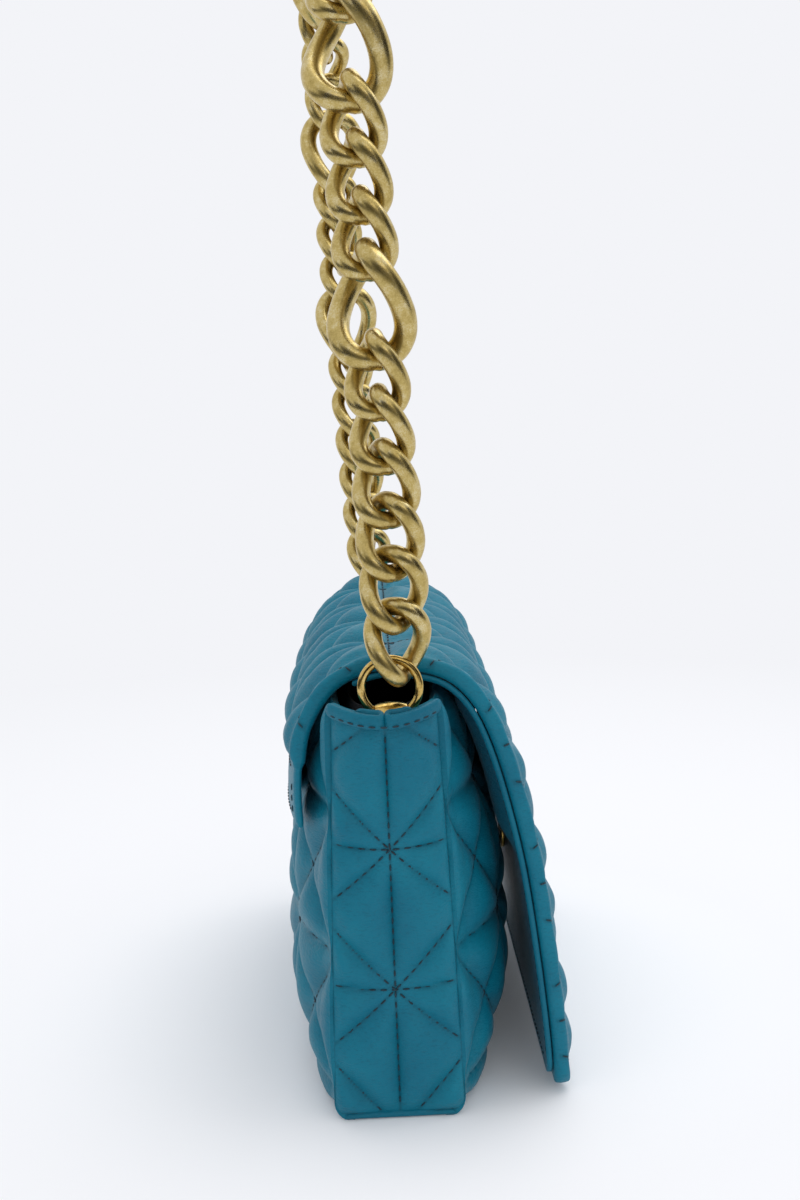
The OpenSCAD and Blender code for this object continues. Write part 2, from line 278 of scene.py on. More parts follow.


# %% [markdown]
# ## Leather
# The leather is dyed lambskin: smooth, with a satin finish that pales where
# light grazes it and creases finely across each pillow. A picture of leather
# would stretch over the pillows, so its tone, its creases and its grain are
# noise in the piece's own space, each with a real size. The creases are painted
# darker as shade, and so is the leather beside each seam, from a mask written there.

# %% Leather
TONE_MM = 28
CREASE_MM = 2.2
CREASE_FLATNESS = 3.2
CREASE_DEPTH_MM = 0.45
# The pores of lambskin are about 0.3 mm apart, which doesn't show, so they are drawn coarser
GRAIN_MM = 0.9
GRAIN_DEPTH_MM = 0.12
# Painted shade: how far the creases and the seams are painted towards the first, darkest colour
CREASE_SHADE = 0.16
GROOVE_SHADE = 0.45


def leather(name, low, middle, high):
    """Dyed lambskin, drum dyed and lightly glazed: satin, soft and finely creased, with painted shade in its
    creases and beside its seams.
    """
    made, tree, shader, place = material(name)
    tone = add(tree, "ShaderNodeTexNoise", {"Vector": place},
               Scale=1 / (TONE_MM * MM), Detail=3.0, Roughness=0.6)
    colour = add(tree, "ShaderNodeValToRGB", {"Fac": tone.outputs["Fac"]},
                 [(0.3, rgb(middle)), (0.75, rgb(high))])
    across = add(tree, "ShaderNodeMapping", {"Vector": place}, Scale=(1, 1, CREASE_FLATNESS))
    crease = add(tree, "ShaderNodeTexNoise", {"Vector": across.outputs["Vector"]},
                 Scale=1 / (CREASE_MM * MM), Detail=4.0, Roughness=0.55, Distortion=0.4)
    # Painted shade: where the crease noise is low, the colour is painted darker
    lines = add(tree, "ShaderNodeValToRGB", {"Fac": crease.outputs["Fac"]},
                [(0.36, CREASE_SHADE), (0.47, 0.0)])
    # Painted shade beside the seams, from the mask on the points
    seam_shade = add(tree, "ShaderNodeAttribute", attribute_name="seam_shade")
    shade = add(tree, "ShaderNodeMath", {0: seam_shade.outputs["Fac"], 1: GROOVE_SHADE}, operation="MULTIPLY")
    painted_shade_amount = add(tree, "ShaderNodeMath", {0: shade.outputs[0], 1: lines.outputs["Color"]},
                 operation="MAXIMUM")
    # The first colour passed in is the painted shade colour, mixed in by the amount of painted shade
    painted_shade_mix = add(tree, "ShaderNodeMix", {"Factor": painted_shade_amount.outputs[0], 6: colour.outputs["Color"], 7: rgb(low)},
               data_type="RGBA")
    grain = add(tree, "ShaderNodeTexVoronoi", {"Vector": place},
                Scale=1 / (GRAIN_MM * MM), Randomness=1.0)
    low_bump = add(tree, "ShaderNodeBump", {"Height": crease.outputs["Fac"]},
                   Strength=0.8, Distance=CREASE_DEPTH_MM * MM)
    fine_bump = add(tree, "ShaderNodeBump",
                    {"Height": grain.outputs["Distance"], "Normal": low_bump.outputs["Normal"]},
                    Strength=0.15, Distance=GRAIN_DEPTH_MM * MM)
    gloss = add(tree, "ShaderNodeValToRGB", {"Fac": crease.outputs["Fac"]}, [(0.3, 0.38), (0.7, 0.52)])
    tree.links.new(gloss.outputs["Color"], shader.inputs["Roughness"])
    complete(tree, shader, painted_shade_mix.outputs[2], fine_bump, Specular_IOR_Level=0.22, Sheen_Weight=0.04,
             Sheen_Roughness=0.4)
    return made


# The first colour of each leather is its painted shade colour, for creases and seams
quilted_leather = leather("dyed_lambskin_quilted", "#00303f", "#00667f", "#04748b")
smooth_leather = leather("dyed_lambskin_smooth", "#003747", "#005f78", "#026b82")
print("leather creases", CREASE_MM, "mm apart, grain", GRAIN_MM, "mm")

# %% [markdown]
# ## Thread and cloth
# The thread is bonded polyester, darker than the leather, with the twist of its
# plies across each stitch. The lining is a plain weave, so two sets of waves
# cross in it. The board in the base is pressed fibre, and a coarser and rougher
# weave of the same kind is enough for a piece that nobody sees.

# %% Thread and cloth
# The bands of a wave texture lie about this far apart at a Scale of 1
WAVE_BAND = 0.32
TWIST_MM, TWIST_DEPTH_MM = 0.384, 0.1
LINING_PITCH_MM, BOARD_PITCH_MM, WEAVE_DEPTH_MM = 0.8, 1.6, 0.15


def thread(name, colour, pale):
    """Bonded polyester sewing thread: two plies, so a fine twist across each stitch."""
    made, tree, shader, place = material(name)
    ply = add(tree, "ShaderNodeTexWave", {"Vector": place}, Scale=WAVE_BAND / (TWIST_MM * MM), Distortion=1.0)
    tint = add(tree, "ShaderNodeValToRGB", {"Fac": ply.outputs["Fac"]},
               [(0.2, rgb(colour)), (0.9, rgb(pale))])
    bump = add(tree, "ShaderNodeBump", {"Height": ply.outputs["Fac"]},
               Strength=0.4, Distance=TWIST_DEPTH_MM * MM)
    complete(tree, shader, tint.outputs["Color"], bump, Roughness=0.6)
    return made


def cloth(name, dark, light, pitch_mm):
    """Plain woven polyester: two crossed sets of threads, matt."""
    made, tree, shader, place = material(name)
    sets = [add(tree, "ShaderNodeTexWave", {"Vector": place}, bands_direction=axis,
                Scale=WAVE_BAND / (pitch_mm * MM), Distortion=0.3) for axis in ("X", "Z")]
    weave = add(tree, "ShaderNodeMath", {0: sets[0].outputs["Fac"], 1: sets[1].outputs["Fac"]},
                operation="MULTIPLY")
    tint = add(tree, "ShaderNodeValToRGB", {"Fac": weave.outputs["Value"]},
               [(0.1, rgb(dark)), (0.8, rgb(light))])
    bump = add(tree, "ShaderNodeBump", {"Height": weave.outputs["Value"]},
               Strength=0.4, Distance=WEAVE_DEPTH_MM * MM)
    complete(tree, shader, tint.outputs["Color"], bump, Roughness=0.75)
    return made


stitch_thread = thread("bonded_thread", "#03222f", "#063443")
lining_cloth = cloth("woven_lining", "#0b0d10", "#25282c", LINING_PITCH_MM)
pressed_board = cloth("pressed_fibre_board", "#4b4335", "#63594a", BOARD_PITCH_MM)
print("lining threads", LINING_PITCH_MM, "mm apart, thread twist", TWIST_MM, "mm")

# %% [markdown]
# ## Metal
# The chain is brass, plated and tumbled in a drum, so its gold is satin, cloudy
# and full of fine specks. The rings were polished and are smoother. Both are one
# function with other colours and another roughness. Metal keeps the shader's
# default IOR, because its colour alone says how it reflects.

# %% Metal
CLOUD_MM = 5
# Tumbling leaves finer pits than this, which wouldn't show, so they are drawn coarser
SPECK_MM = 0.55
SPECK_SHARE = 0.35
SPECK_DEPTH_MM = 0.06
ROUGHER, SHINIER = 0.1, 0.05


def plated(name, dark, middle, pale, rough):
    """Brass plated and tumbled: satin gold with fine specks and a cloudy tone."""
    made, tree, shader, place = material(name)
    cloud = add(tree, "ShaderNodeTexNoise", {"Vector": place},
                Scale=1 / (CLOUD_MM * MM), Detail=5.0, Roughness=0.65)
    speck = add(tree, "ShaderNodeTexNoise", {"Vector": place}, Scale=1 / (SPECK_MM * MM), Detail=2.0)
    both = add(tree, "ShaderNodeMix", {2: cloud.outputs["Fac"], 3: speck.outputs["Fac"]},
               Factor=SPECK_SHARE)
    tint = add(tree, "ShaderNodeValToRGB", {"Fac": both.outputs[0]},
               [(0.28, rgb(dark)), (0.5, rgb(middle)), (0.68, rgb(pale))])
    gloss = add(tree, "ShaderNodeValToRGB", {"Fac": both.outputs[0]},
                [(0.35, rough + ROUGHER), (0.65, rough - SHINIER)])
    tree.links.new(gloss.outputs["Color"], shader.inputs["Roughness"])
    bump = add(tree, "ShaderNodeBump", {"Height": speck.outputs["Fac"]},
               Strength=0.25, Distance=SPECK_DEPTH_MM * MM)
    complete(tree, shader, tint.outputs["Color"], bump, Metallic=1)
    return made


chain_gold = plated("tumbled_brass_plate", "#9d8748", "#c2ac6c", "#d9cba0", 0.28)
ring_gold = plated("polished_brass_plate", "#a08036", "#c8a75c", "#dfc88a", 0.18)
print("materials", len(bpy.data.materials))

# %% [markdown]
# ## What each piece says of itself
# Besides its material, each piece is hung on the body that it moves with, and
# the imported solids that it stands for are hidden. The flap's skin is sewn to
# the bag at one end and opens with the flap at the other, so it is hung on
# neither body and keeps its place.


def dress(piece, finish, slot, body, *replaced):
    """Gives a piece its material, hangs it on the body that it moves with, except across the fold,
    and hides the solids that it stands for. The slot argument is not used.
    """
    piece.data.materials.clear()
    piece.data.materials.append(finish)
    if body == "fold":
        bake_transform(piece)
    else:
        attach(piece, body)
    if replaced:
        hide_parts(*replaced)
    print(piece.name, len(piece.data.vertices), "vertices on", body)
    return piece


# %% [markdown]
# ## The quilting
# The leather is sewn to its wadding along lines at 0, 90 and 45 degrees, so that
# eight lines meet in a star. Between the lines each triangle rises in a pillow:
# steep at the thread and flat in the middle. The distance to the nearest line
# alone would give each pillow sharp ridges like a roof, so its height is the
# product of one smooth rise for each line near it.

# %% Quilting
STAR_PITCH = 58.1
PILLOW_REACH = 13.5
PILLOW_POWER = 2.8
# Width of the painted shade along each seam line
SEAM_SHADE_WIDTH = 1.0


def to_line(share):
    return np.abs(share - np.round(share))


def line_distances(a, b, pitch_a, pitch_b):
    """Distances in millimetres to the nearest line of each of the four sets."""
    slant = math.hypot(1 / pitch_a, 1 / pitch_b)
    return [to_line(a) * pitch_a, to_line(b) * pitch_b, to_line(a + b) / slant, to_line(a - b) / slant]


def line_sets(a, b):
    """The four sets again, each with whether its lines are followed column by column."""
    return [(a, False), (b, True), (a + b, True), (a - b, True)]


def pillow(distances):
    """Height of the wadding from 0 at a line to about 1 at the middle of a cell."""
    rises = [1 - (1 - np.clip(d / PILLOW_REACH, 0, 1)) ** PILLOW_POWER for d in distances]
    return np.prod(rises, axis=0)


# Mask for painted shade: 1 on a seam line, falling to 0 one width away
def seam_shade_of(distances):
    return np.clip(1 - np.minimum.reduce(distances) / SEAM_SHADE_WIDTH, 0, 1)


# %% Small folds
FIRST_FOLD, FIRST_DRIFT, FIRST_SWAY = 6.1, 9.7, 1.3
SECOND_FOLD, SECOND_DRIFT, SECOND_SWAY = 7.3, 11.9, 0.9


def soft_waves(u, v, size):
    """Small folds, without a common rhythm, that stop the pillows from looking machined."""
    first = np.sin(u / FIRST_FOLD + FIRST_SWAY * np.sin(v / FIRST_DRIFT))
    return size * (first * np.sin(v / SECOND_FOLD + SECOND_SWAY * np.sin(u / SECOND_DRIFT)))


# %% [markdown]
# ## Stitches
# A stitch is a short piece of thread that dips into the leather at both ends. An
# array along a curve would place copies, but it can't turn each one to lie on the
# pillows. So one small sphere is the pattern, and its points are repeated along
# each seam, stretched along the seam and turned to the leather's normal.

# %% One stitch
STITCH_LENGTH = 2.8
STITCH_PITCH = 4.4
STITCH_WIDTH = 0.85
STITCH_FLATNESS = 0.8
pattern = primitive("stitch", bpy.ops.mesh.primitive_uv_sphere_add, segments=6, ring_count=4, radius=0.5)
stitch_points = points_of(pattern)
stitch_faces = [tuple(face.vertices) for face in pattern.data.polygons]
bpy.data.objects.remove(pattern)
print("one stitch has", len(stitch_points), "points")


# %% Seams of stitches
HEADING_STEP = 1


def dashes(path, facing):
    """Middles, headings and normals of the stitches along a line of points."""
    run = run_along(path)
    middles = np.arange(STITCH_PITCH / 2, run[-1] - STITCH_LENGTH / 2, STITCH_PITCH)

    def at(distance, values):
        return np.stack([np.interp(distance, run, values[:, i]) for i in range(3)], axis=1)
    heading = at(middles + HEADING_STEP, path) - at(middles - HEADING_STEP, path)
    return at(middles, path), heading, at(middles, facing)


def sew(name, lines, body, lift=0.15):
    """One mesh of stitches along lines of (points, normals)."""
    rows = [dashes(path, facing) for path, facing in lines if len(path) > 2]
    middle, heading, facing = (np.concatenate([row[i] for row in rows]) for i in range(3))
    heading = unit(heading)
    facing = unit(facing - heading * np.sum(facing * heading, axis=1, keepdims=True))
    side = np.cross(heading, facing)
    points = (middle[:, None] + facing[:, None] * lift
              + heading[:, None] * stitch_points[None, :, 2:3] * STITCH_LENGTH
              + side[:, None] * stitch_points[None, :, 0:1] * STITCH_WIDTH
              + facing[:, None] * stitch_points[None, :, 1:2] * STITCH_WIDTH * STITCH_FLATNESS).reshape(-1, 3)
    count = len(stitch_points)
    faces = [tuple(count * i + v for v in face) for i in range(len(middle)) for face in stitch_faces]
    mesh = bpy.data.meshes.new(name)
    mesh.from_pydata((points * MM).tolist(), [], faces)
    piece = bpy.data.objects.new(name, mesh)
    bpy.context.collection.objects.link(piece)
    print(name, len(middle), "stitches")
    return dress(smooth(piece, 80), stitch_thread, "smooth_leather", body)


# %% [markdown]
# ## Where a seam runs
# A seam lies where the star pattern of a sheet crosses a whole number. Points of
# that line are found between neighbouring points of the sheet, column by column
# or row by row, so that the thread follows every swell of the leather.

# %% Seam lines
FEWEST_POINTS = 4


def crossings(values, level, by_column):
    """Places as (row, column) with fractions, where a sheet's values first cross a level."""
    sheet = values if by_column else values.T
    places = []
    for j in range(sheet.shape[1]):
        line = sheet[:, j] - level
        for i in np.nonzero(line[:-1] * line[1:] <= 0)[0][:1]:
            share = line[i] / (line[i] - line[i + 1]) if line[i] != line[i + 1] else 0
            places.append((i + share, j) if by_column else (j, i + share))
    return places


def pick(sheet, places):
    """Values of a sheet at places given as (row, column) with fractions."""
    out = []
    for row, column in places:
        i, j = min(int(row), sheet.shape[0] - 2), min(int(column), sheet.shape[1] - 2)
        p, q = row - i, column - j
        out.append((sheet[i, j] * (1 - p) + sheet[i + 1, j] * p) * (1 - q)
                   + (sheet[i, j + 1] * (1 - p) + sheet[i + 1, j + 1] * p) * q)
    return np.array(out)


def sheet_lines(points, normal, sink, families, keep):
    """Lines of points and normals where each family of values crosses its whole numbers."""
    lines = []
    for values, by_column in families:
        for level in range(math.ceil(values.min()), math.floor(values.max()) + 1):
            places = crossings(values, level, by_column)
            if len(places) < FEWEST_POINTS:
                continue
            path, facing = pick(points, places), pick(normal, places)
            inside = keep(path)
            turns = np.nonzero(np.diff(inside.astype(int)))[0] + 1
            for part in np.split(np.arange(len(path)), turns):
                if len(part) >= FEWEST_POINTS and inside[part[0]]:
                    lines.append((path[part] + facing[part] * sink, facing[part]))
    return lines


# %% [markdown]
# ## The body's shape
# The body is a box of leather that sags like a filled bag: the two panels swell
# past the gussets and turn under into the base. These are the formulas of the
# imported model, with a rounder lower corner and the fullest place lower down.

# %% Body formulas
HALF_LENGTH = 125.0
HEIGHT = 168.0
MOUTH_WIDTH = 43.0
BASE_WIDTH = 52.0
FRONT_SWELL = 26.0
BACK_SWELL = 19.0
CORNER = 8.0
PANEL_CORNER = 16.0
CORNER_POWER = 2.6
SWELL_SKEW = 0.7
SWELL_POWER = 0.6
SWELL_END_POWER = 4
SEAM_END_POWER = 6


def seam_width(z):
    return BASE_WIDTH + (MOUTH_WIDTH - BASE_WIDTH) * z / HEIGHT


def swell(x, z, full):
    end = np.sqrt(np.clip(1 - (np.abs(x) / HALF_LENGTH) ** SWELL_END_POWER, 0, 1))
    rise = np.clip(z / HEIGHT, 0, 1) ** SWELL_SKEW
    return full * end * np.abs(np.sin(math.pi * rise)) ** SWELL_POWER


def gusset_half(z):
    """Half of a gusset's width, with round lower corners."""
    corner = np.clip((CORNER - z) / CORNER, 0, 1)
    return seam_width(z) / 2 - CORNER * (1 - np.sqrt(1 - corner ** 2))


def panel_out(x, z, full_swell):
    """How far a panel stands from the middle of the bag."""
    low = np.maximum(z, PANEL_CORNER)
    full = seam_width(low) / 2 + swell(x, low, full_swell)
    share = np.clip((PANEL_CORNER - z) / PANEL_CORNER, 0, 1)
    under = BASE_WIDTH / 2 - CORNER
    round_off = (1 - share ** CORNER_POWER) ** (1 / CORNER_POWER)
    end = np.clip(np.abs(x) / HALF_LENGTH, 0, 1) ** SEAM_END_POWER
    return end * gusset_half(z) + (1 - end) * (under + (full - under) * round_off)


print("fullest in front", round(float(panel_out(0, np.linspace(0, HEIGHT, 200), FRONT_SWELL).max()), 1), "mm")

# %% [markdown]
# ## Front and back panels
# A panel could be a plain slab with a bump map, but then its edge would stay
# straight against the light. So each pillow is real: the grid has a vertex
# about every 1.3 mm, and each one moves out along the surface's normal. The rows
# are spaced evenly along the leather's own way down and under, not by height,
# because the leather is as long as that way.

# %% Panel sheet
PANEL_STARS_X = 50.0
PANEL_STAR_X0 = 25.0
PANEL_STAR_Z0 = 10.8
PANEL_SHORT = 1.8
PANEL_COLUMNS, PANEL_ROWS = 200, 130
PANEL_CROWDING = 0.35
LOW_START = 3
HIGH_TRIES, LOW_TRIES = 500, 200
END_PULL = 2.6
TOP_MARGIN = 2


def panel_column(x, side, full_swell):
    """Places of one column's rows, and how far down the leather each row lies."""
    z_low = LOW_START * np.cos(np.linspace(0, 1, LOW_TRIES) * math.pi / 2)
    z_try = np.concatenate([np.linspace(HEIGHT, LOW_START, HIGH_TRIES), z_low])
    y_try = panel_out(np.full_like(z_try, x), z_try, full_swell)
    run = np.concatenate([[0], np.cumsum(np.hypot(np.diff(y_try), np.diff(z_try)))])
    want = np.linspace(0, run[-1], PANEL_ROWS + 1)
    z = np.interp(want, run, z_try)
    past_corner = want - np.interp(PANEL_CORNER, z_try[::-1], run[::-1])
    drop = np.where(z > PANEL_CORNER, z, PANEL_CORNER - past_corner)
    return np.stack([np.full_like(z, x), side * np.interp(want, run, y_try), z], axis=1), drop


def panel_sheet(side, full_swell):
    """Points, normals and the leather's way down of one panel; side is -1 in front."""
    x_line = (HALF_LENGTH - PANEL_SHORT) * crowded(PANEL_COLUMNS, PANEL_CROWDING)
    columns = [panel_column(x, side, full_swell) for x in x_line]
    points = np.stack([column[0] for column in columns], axis=1)
    drop = np.stack([column[1] for column in columns], axis=1)
    normal = facing_of(points)
    outwards = normal[PANEL_ROWS // 2, PANEL_COLUMNS // 2, 1] * side > 0
    return points, normal if outwards else -normal, drop


# %% Panel pillows
PANEL_THICK = 5.0
PANEL_PUFF = 4.2
PANEL_SINK = -2.6
PANEL_WAVES = 0.3
SEAM_FADE = 9.0
THIN_FROM, THIN_OVER, THINNEST = 20, 50, 0.35
INSIDE_FLOOR = 0.4


def quilted_panel(name, points, normal, drop, distances):
    """Raises the pillows on a panel's sheet and gives it its thickness, less at the base."""
    x, z = points[..., 0], points[..., 2]
    puff = pillow(distances)
    sink = PANEL_SINK * np.clip((HALF_LENGTH - PANEL_SHORT - np.abs(x)) / SEAM_FADE, 0, 1)
    lift = sink + PANEL_PUFF * puff + soft_waves(x, z, PANEL_WAVES) * puff
    outer = points + normal * lift[..., None]
    outer[..., 2] = np.clip(outer[..., 2], 0.0, None)
    thin = np.clip((drop + THIN_FROM) / THIN_OVER, THINNEST, 1)
    inner = points - normal * (PANEL_THICK * thin)[..., None]
    inner[..., 2] = np.clip(inner[..., 2], INSIDE_FLOOR, HEIGHT)
    return closed_shell(name, outer, inner, seam_shade_of(distances))


# %% Both panels
THREAD_END = 1.5


def off_the_seams(path):
    return np.abs(path[:, 0]) < HALF_LENGTH - THREAD_END


for name, side, full_swell, node in (("quilted_front", -1, FRONT_SWELL, "front_panel"),
                                     ("quilted_back", 1, BACK_SWELL, "back_panel")):
    points, normal, drop = panel_sheet(side, full_swell)
    a = (points[..., 0] - PANEL_STAR_X0) / PANEL_STARS_X
    b = (drop - PANEL_STAR_Z0) / STAR_PITCH
    borders = [(HALF_LENGTH - np.abs(points[..., 0])) * END_PULL, HEIGHT - points[..., 2] + TOP_MARGIN]
    distances = line_distances(a, b, PANEL_STARS_X, STAR_PITCH) + borders
    panel = quilted_panel(name, points, normal, drop, distances)
    dress(panel, quilted_leather, "quilted_leather", "bag", node)
    sew(name + "_thread", sheet_lines(points, normal, PANEL_SINK, line_sets(a, b), off_the_seams), "bag")

# %% [markdown]
# ## Gussets
# The gusset is the narrow side of the body. Its mouth bulges out round the ring
# and sags a little, and its middle carries a straight seam with a row of stars.
# The bulge is part of the sheet's formula, and the pillows rise on it as on the
# panels, but calm down under the mouth, where the leather is bound.

# %% Gusset sheet
BULGE = 13.0
BULGE_POWER = 3
GUSSET_FOOT = 2.4
MOUTH_RISE = 1.4
MOUTH_SAG = 3.3
GUSSET_STAR_Z0 = 53.7
STAR_DROOP = 3.7
GUSSET_COLUMNS, GUSSET_ROWS = 56, 130
GUSSET_CROWDING = 0.3
EDGE_PULL = 1.8
FOOT_MARGIN = 0.5


def gusset_top(share):
    return HEIGHT + MOUTH_RISE - MOUTH_SAG * (1 - share ** 2)


def gusset_x(share, z):
    return HALF_LENGTH + BULGE * np.clip(z / HEIGHT, 0, 1) ** BULGE_POWER * (1 - share ** 2)


def gusset_sheet(side):
    """Points, normals, quilting distances and star lattice of one gusset."""
    share, level = np.meshgrid(crowded(GUSSET_COLUMNS, GUSSET_CROWDING),
                               1 - np.linspace(0, 1, GUSSET_ROWS + 1))
    z = GUSSET_FOOT + (gusset_top(share) - GUSSET_FOOT) * level
    y = share * gusset_half(z)
    points = np.stack([side * gusset_x(share, z), y, z], axis=2)
    normal = facing_of(points)
    outwards = normal[GUSSET_ROWS // 2, GUSSET_COLUMNS // 2, 0] * side > 0
    a = y / STAR_PITCH
    b = (z - GUSSET_STAR_Z0 - STAR_DROOP * (y / BASE_WIDTH * 2) ** 2) / STAR_PITCH
    edges = [(1 - np.abs(share)) * gusset_half(z) * EDGE_PULL, (z - GUSSET_FOOT) * EDGE_PULL + FOOT_MARGIN]
    distances = line_distances(a, b, STAR_PITCH, STAR_PITCH) + edges
    return points, normal if outwards else -normal, distances, a, b


# %% Both gussets
GUSSET_PUFF = 4.4
GUSSET_SINK = -2.0
GUSSET_THICK = 2.0
GUSSET_WAVES = 0.25
WAVE_SQUEEZE = 1.3
CALM_TOP = 9
GUSSET_INSIDE_FLOOR = 0.3
GUSSET_THREAD_END = 0.2


def below_the_mouth(path):
    between = np.abs(path[:, 1]) < gusset_half(path[:, 2]) - GUSSET_THREAD_END
    return between & (path[:, 2] < HEIGHT - CALM_TOP)


for name, side in (("left", -1), ("right", 1)):
    points, normal, distances, a, b = gusset_sheet(side)
    calm = np.clip((gusset_top(0) - points[..., 2]) / CALM_TOP, 0, 1)
    waves = soft_waves(points[..., 1] * WAVE_SQUEEZE, points[..., 2], GUSSET_WAVES)
    lift = GUSSET_SINK + calm * (GUSSET_PUFF + waves) * pillow(distances)
    outer = points + normal * lift[..., None]
    inner = points - normal * (GUSSET_THICK - GUSSET_SINK)
    outer[..., 2] = np.clip(outer[..., 2], 0.0, None)
    inner[..., 2] = np.clip(inner[..., 2], GUSSET_INSIDE_FLOOR, None)
    gusset = closed_shell(f"{name}_side", outer, inner, seam_shade_of(distances) * calm)
    dress(gusset, quilted_leather, "quilted_leather", "bag", f"{name}_gusset")
    sewn = sheet_lines(points, normal, GUSSET_SINK, line_sets(a, b), below_the_mouth)
    sew(f"{name}_side_thread", sewn, "bag")

# %% [markdown]
# ## Tools for bands and curves
# A band of leather could be a curve with a bevel profile, but such a profile
# rolls over where the path turns back on itself. So the band is a grid whose
# rows are laid round the path, and a row of one place closes each end.

# %% Bands and curves
BAND_SIDES = 16
BAND_SQUARENESS = 0.75
TAPER_ROWS = 4
FIRST_TAPER = 0.4
CURVE_PARTS = 40


def squared(value, power):
    """Keeps a value's sign and bends its size, which squares a circle for powers below 1."""
    return np.sign(value) * np.abs(value) ** power


def swept(name, path, wide, tall):
    """A soft band along a path: wide and tall give its half sizes as vectors for each point."""
    angle = np.linspace(0, 2 * math.pi, BAND_SIDES + 1)
    across = squared(np.cos(angle), BAND_SQUARENESS)[None, :, None]
    upward = squared(np.sin(angle), BAND_SQUARENESS)[None, :, None]
    ends = np.ones(len(path))
    taper = min(TAPER_ROWS, len(path) // 3)
    ends[:taper] = np.sqrt(1 - (1 - (np.arange(taper) + FIRST_TAPER) / taper) ** 2)
    ends[-taper:] = ends[:taper][::-1]
    points = path[:, None] + (across * wide[:, None] + upward * tall[:, None]) * ends[:, None, None]
    first, last = (np.repeat(end, BAND_SIDES + 1, axis=0)[None] for end in (path[:1], path[-1:]))
    return smooth(close_up(wrap_grid(name, np.concatenate([first, points, last], axis=0))), 60)


def smooth_path(points, step):
    """A curve through given points, sampled at even steps."""
    points = np.array(points, float)
    padded = np.concatenate([2 * points[:1] - points[1:2], points, 2 * points[-1:] - points[-2:-1]])
    fine = []
    for i in range(1, len(padded) - 2):
        p0, p1, p2, p3 = padded[i - 1:i + 3]
        t = np.linspace(0, 1, CURVE_PARTS, endpoint=False)[:, None]
        fine.append(0.5 * (2 * p1 + (p2 - p0) * t + (2 * p0 - 5 * p1 + 4 * p2 - p3) * t ** 2
                           + (3 * p1 - p0 - 3 * p2 + p3) * t ** 3))
    fine = np.concatenate(fine + [points[-1:]])
    run = run_along(fine)
    want = np.linspace(0, run[-1], max(int(run[-1] / step), 4) + 1)
    return np.stack([np.interp(want, run, fine[:, k]) for k in range(fine.shape[1])], axis=1)


# %% [markdown]
# ## Bound mouths
# The leather at the mouth is turned over into a flat band. At the middle seam it
# folds back inwards, so two pleats meet there like two narrow loops. Each half
# is one flat tube swept along that path, with a U-turn at the seam.

# %% Mouth bands
BAND_TALL = 2.8
BAND_THICK = 1.35
BAND_OUT = 0.7
BAND_DROP = 1.2
PLEAT_DEPTH = 3.6
PLEAT_RISE = 0.9
# Shares of the mouth's half width: where the band turns back, and where its pleat starts and ends
TURN_SHARE = 0.075
PLEAT_SHARES = (0.09, 0.5)
TURN_IN, TURN_SIDE, TURN_DROP = 1.3, 0.9, 0.8
MOUTH_POINTS, PLEAT_POINTS = 12, 7
BAND_STEP = 0.8
LEVEL_UP = np.array([0.0, 0.0, 1.0])


def mouth_path(end, half):
    """The way of one half band: along the mouth to the middle, round and back inside."""
    outer_run = [(end * (gusset_x(s, HEIGHT) + BAND_OUT), half * s * MOUTH_WIDTH / 2,
                  gusset_top(s) - BAND_DROP) for s in np.linspace(1.0, TURN_SHARE, MOUTH_POINTS)]
    turn = (end * (gusset_x(0, HEIGHT) - TURN_IN), half * TURN_SIDE, gusset_top(0) - TURN_DROP)
    back_run = [(end * (gusset_x(s, HEIGHT) - PLEAT_DEPTH), half * s * MOUTH_WIDTH / 2,
                 gusset_top(s) - BAND_DROP + PLEAT_RISE) for s in np.linspace(*PLEAT_SHARES, PLEAT_POINTS)]
    return smooth_path(outer_run + [turn] + back_run, BAND_STEP)


# %% Mouth seam
BAND_STITCH_DROP = 2.9
BAND_STITCH_END = 0.93
BAND_STITCH_OUT = 0.9
BAND_STITCH_POINTS = 60


def mouth_seam(end):
    """Points and normals of the row of stitches that holds the bands."""
    share = np.linspace(-BAND_STITCH_END, BAND_STITCH_END, BAND_STITCH_POINTS)
    z = gusset_top(share) - BAND_STITCH_DROP
    x = gusset_x(share, HEIGHT) + BAND_OUT + BAND_THICK * BAND_STITCH_OUT
    return np.stack([end * x, share * gusset_half(z), z], axis=1), np.tile([end, 0.0, 0.0], (len(share), 1))


# %% Both mouths
for name, end in (("left", -1), ("right", 1)):
    for half_name, half in (("back", 1), ("front", -1)):
        path = mouth_path(end, half)
        heading = unit(np.gradient(path, axis=0))
        level = unit(np.cross(heading, LEVEL_UP))
        upward = np.cross(level, heading)
        band = swept(f"{name}_mouth_{half_name}", path, level * BAND_THICK, upward * BAND_TALL)
        dress(band, smooth_leather, "smooth_leather", "bag")
    sew(f"{name}_mouth_thread", [mouth_seam(end)], "bag", lift=0.3)

# %% [markdown]
# ## The flap's line
# The flap is one padded skin. It is sewn high on the back panel, rolls over the
# mouth and hangs in front. Seen from the end it is a single curve, so that curve
# is drawn first, through listed points: places on the back panel, then
# shares of the flap's reach and fall. The skin is laid along it afterwards.

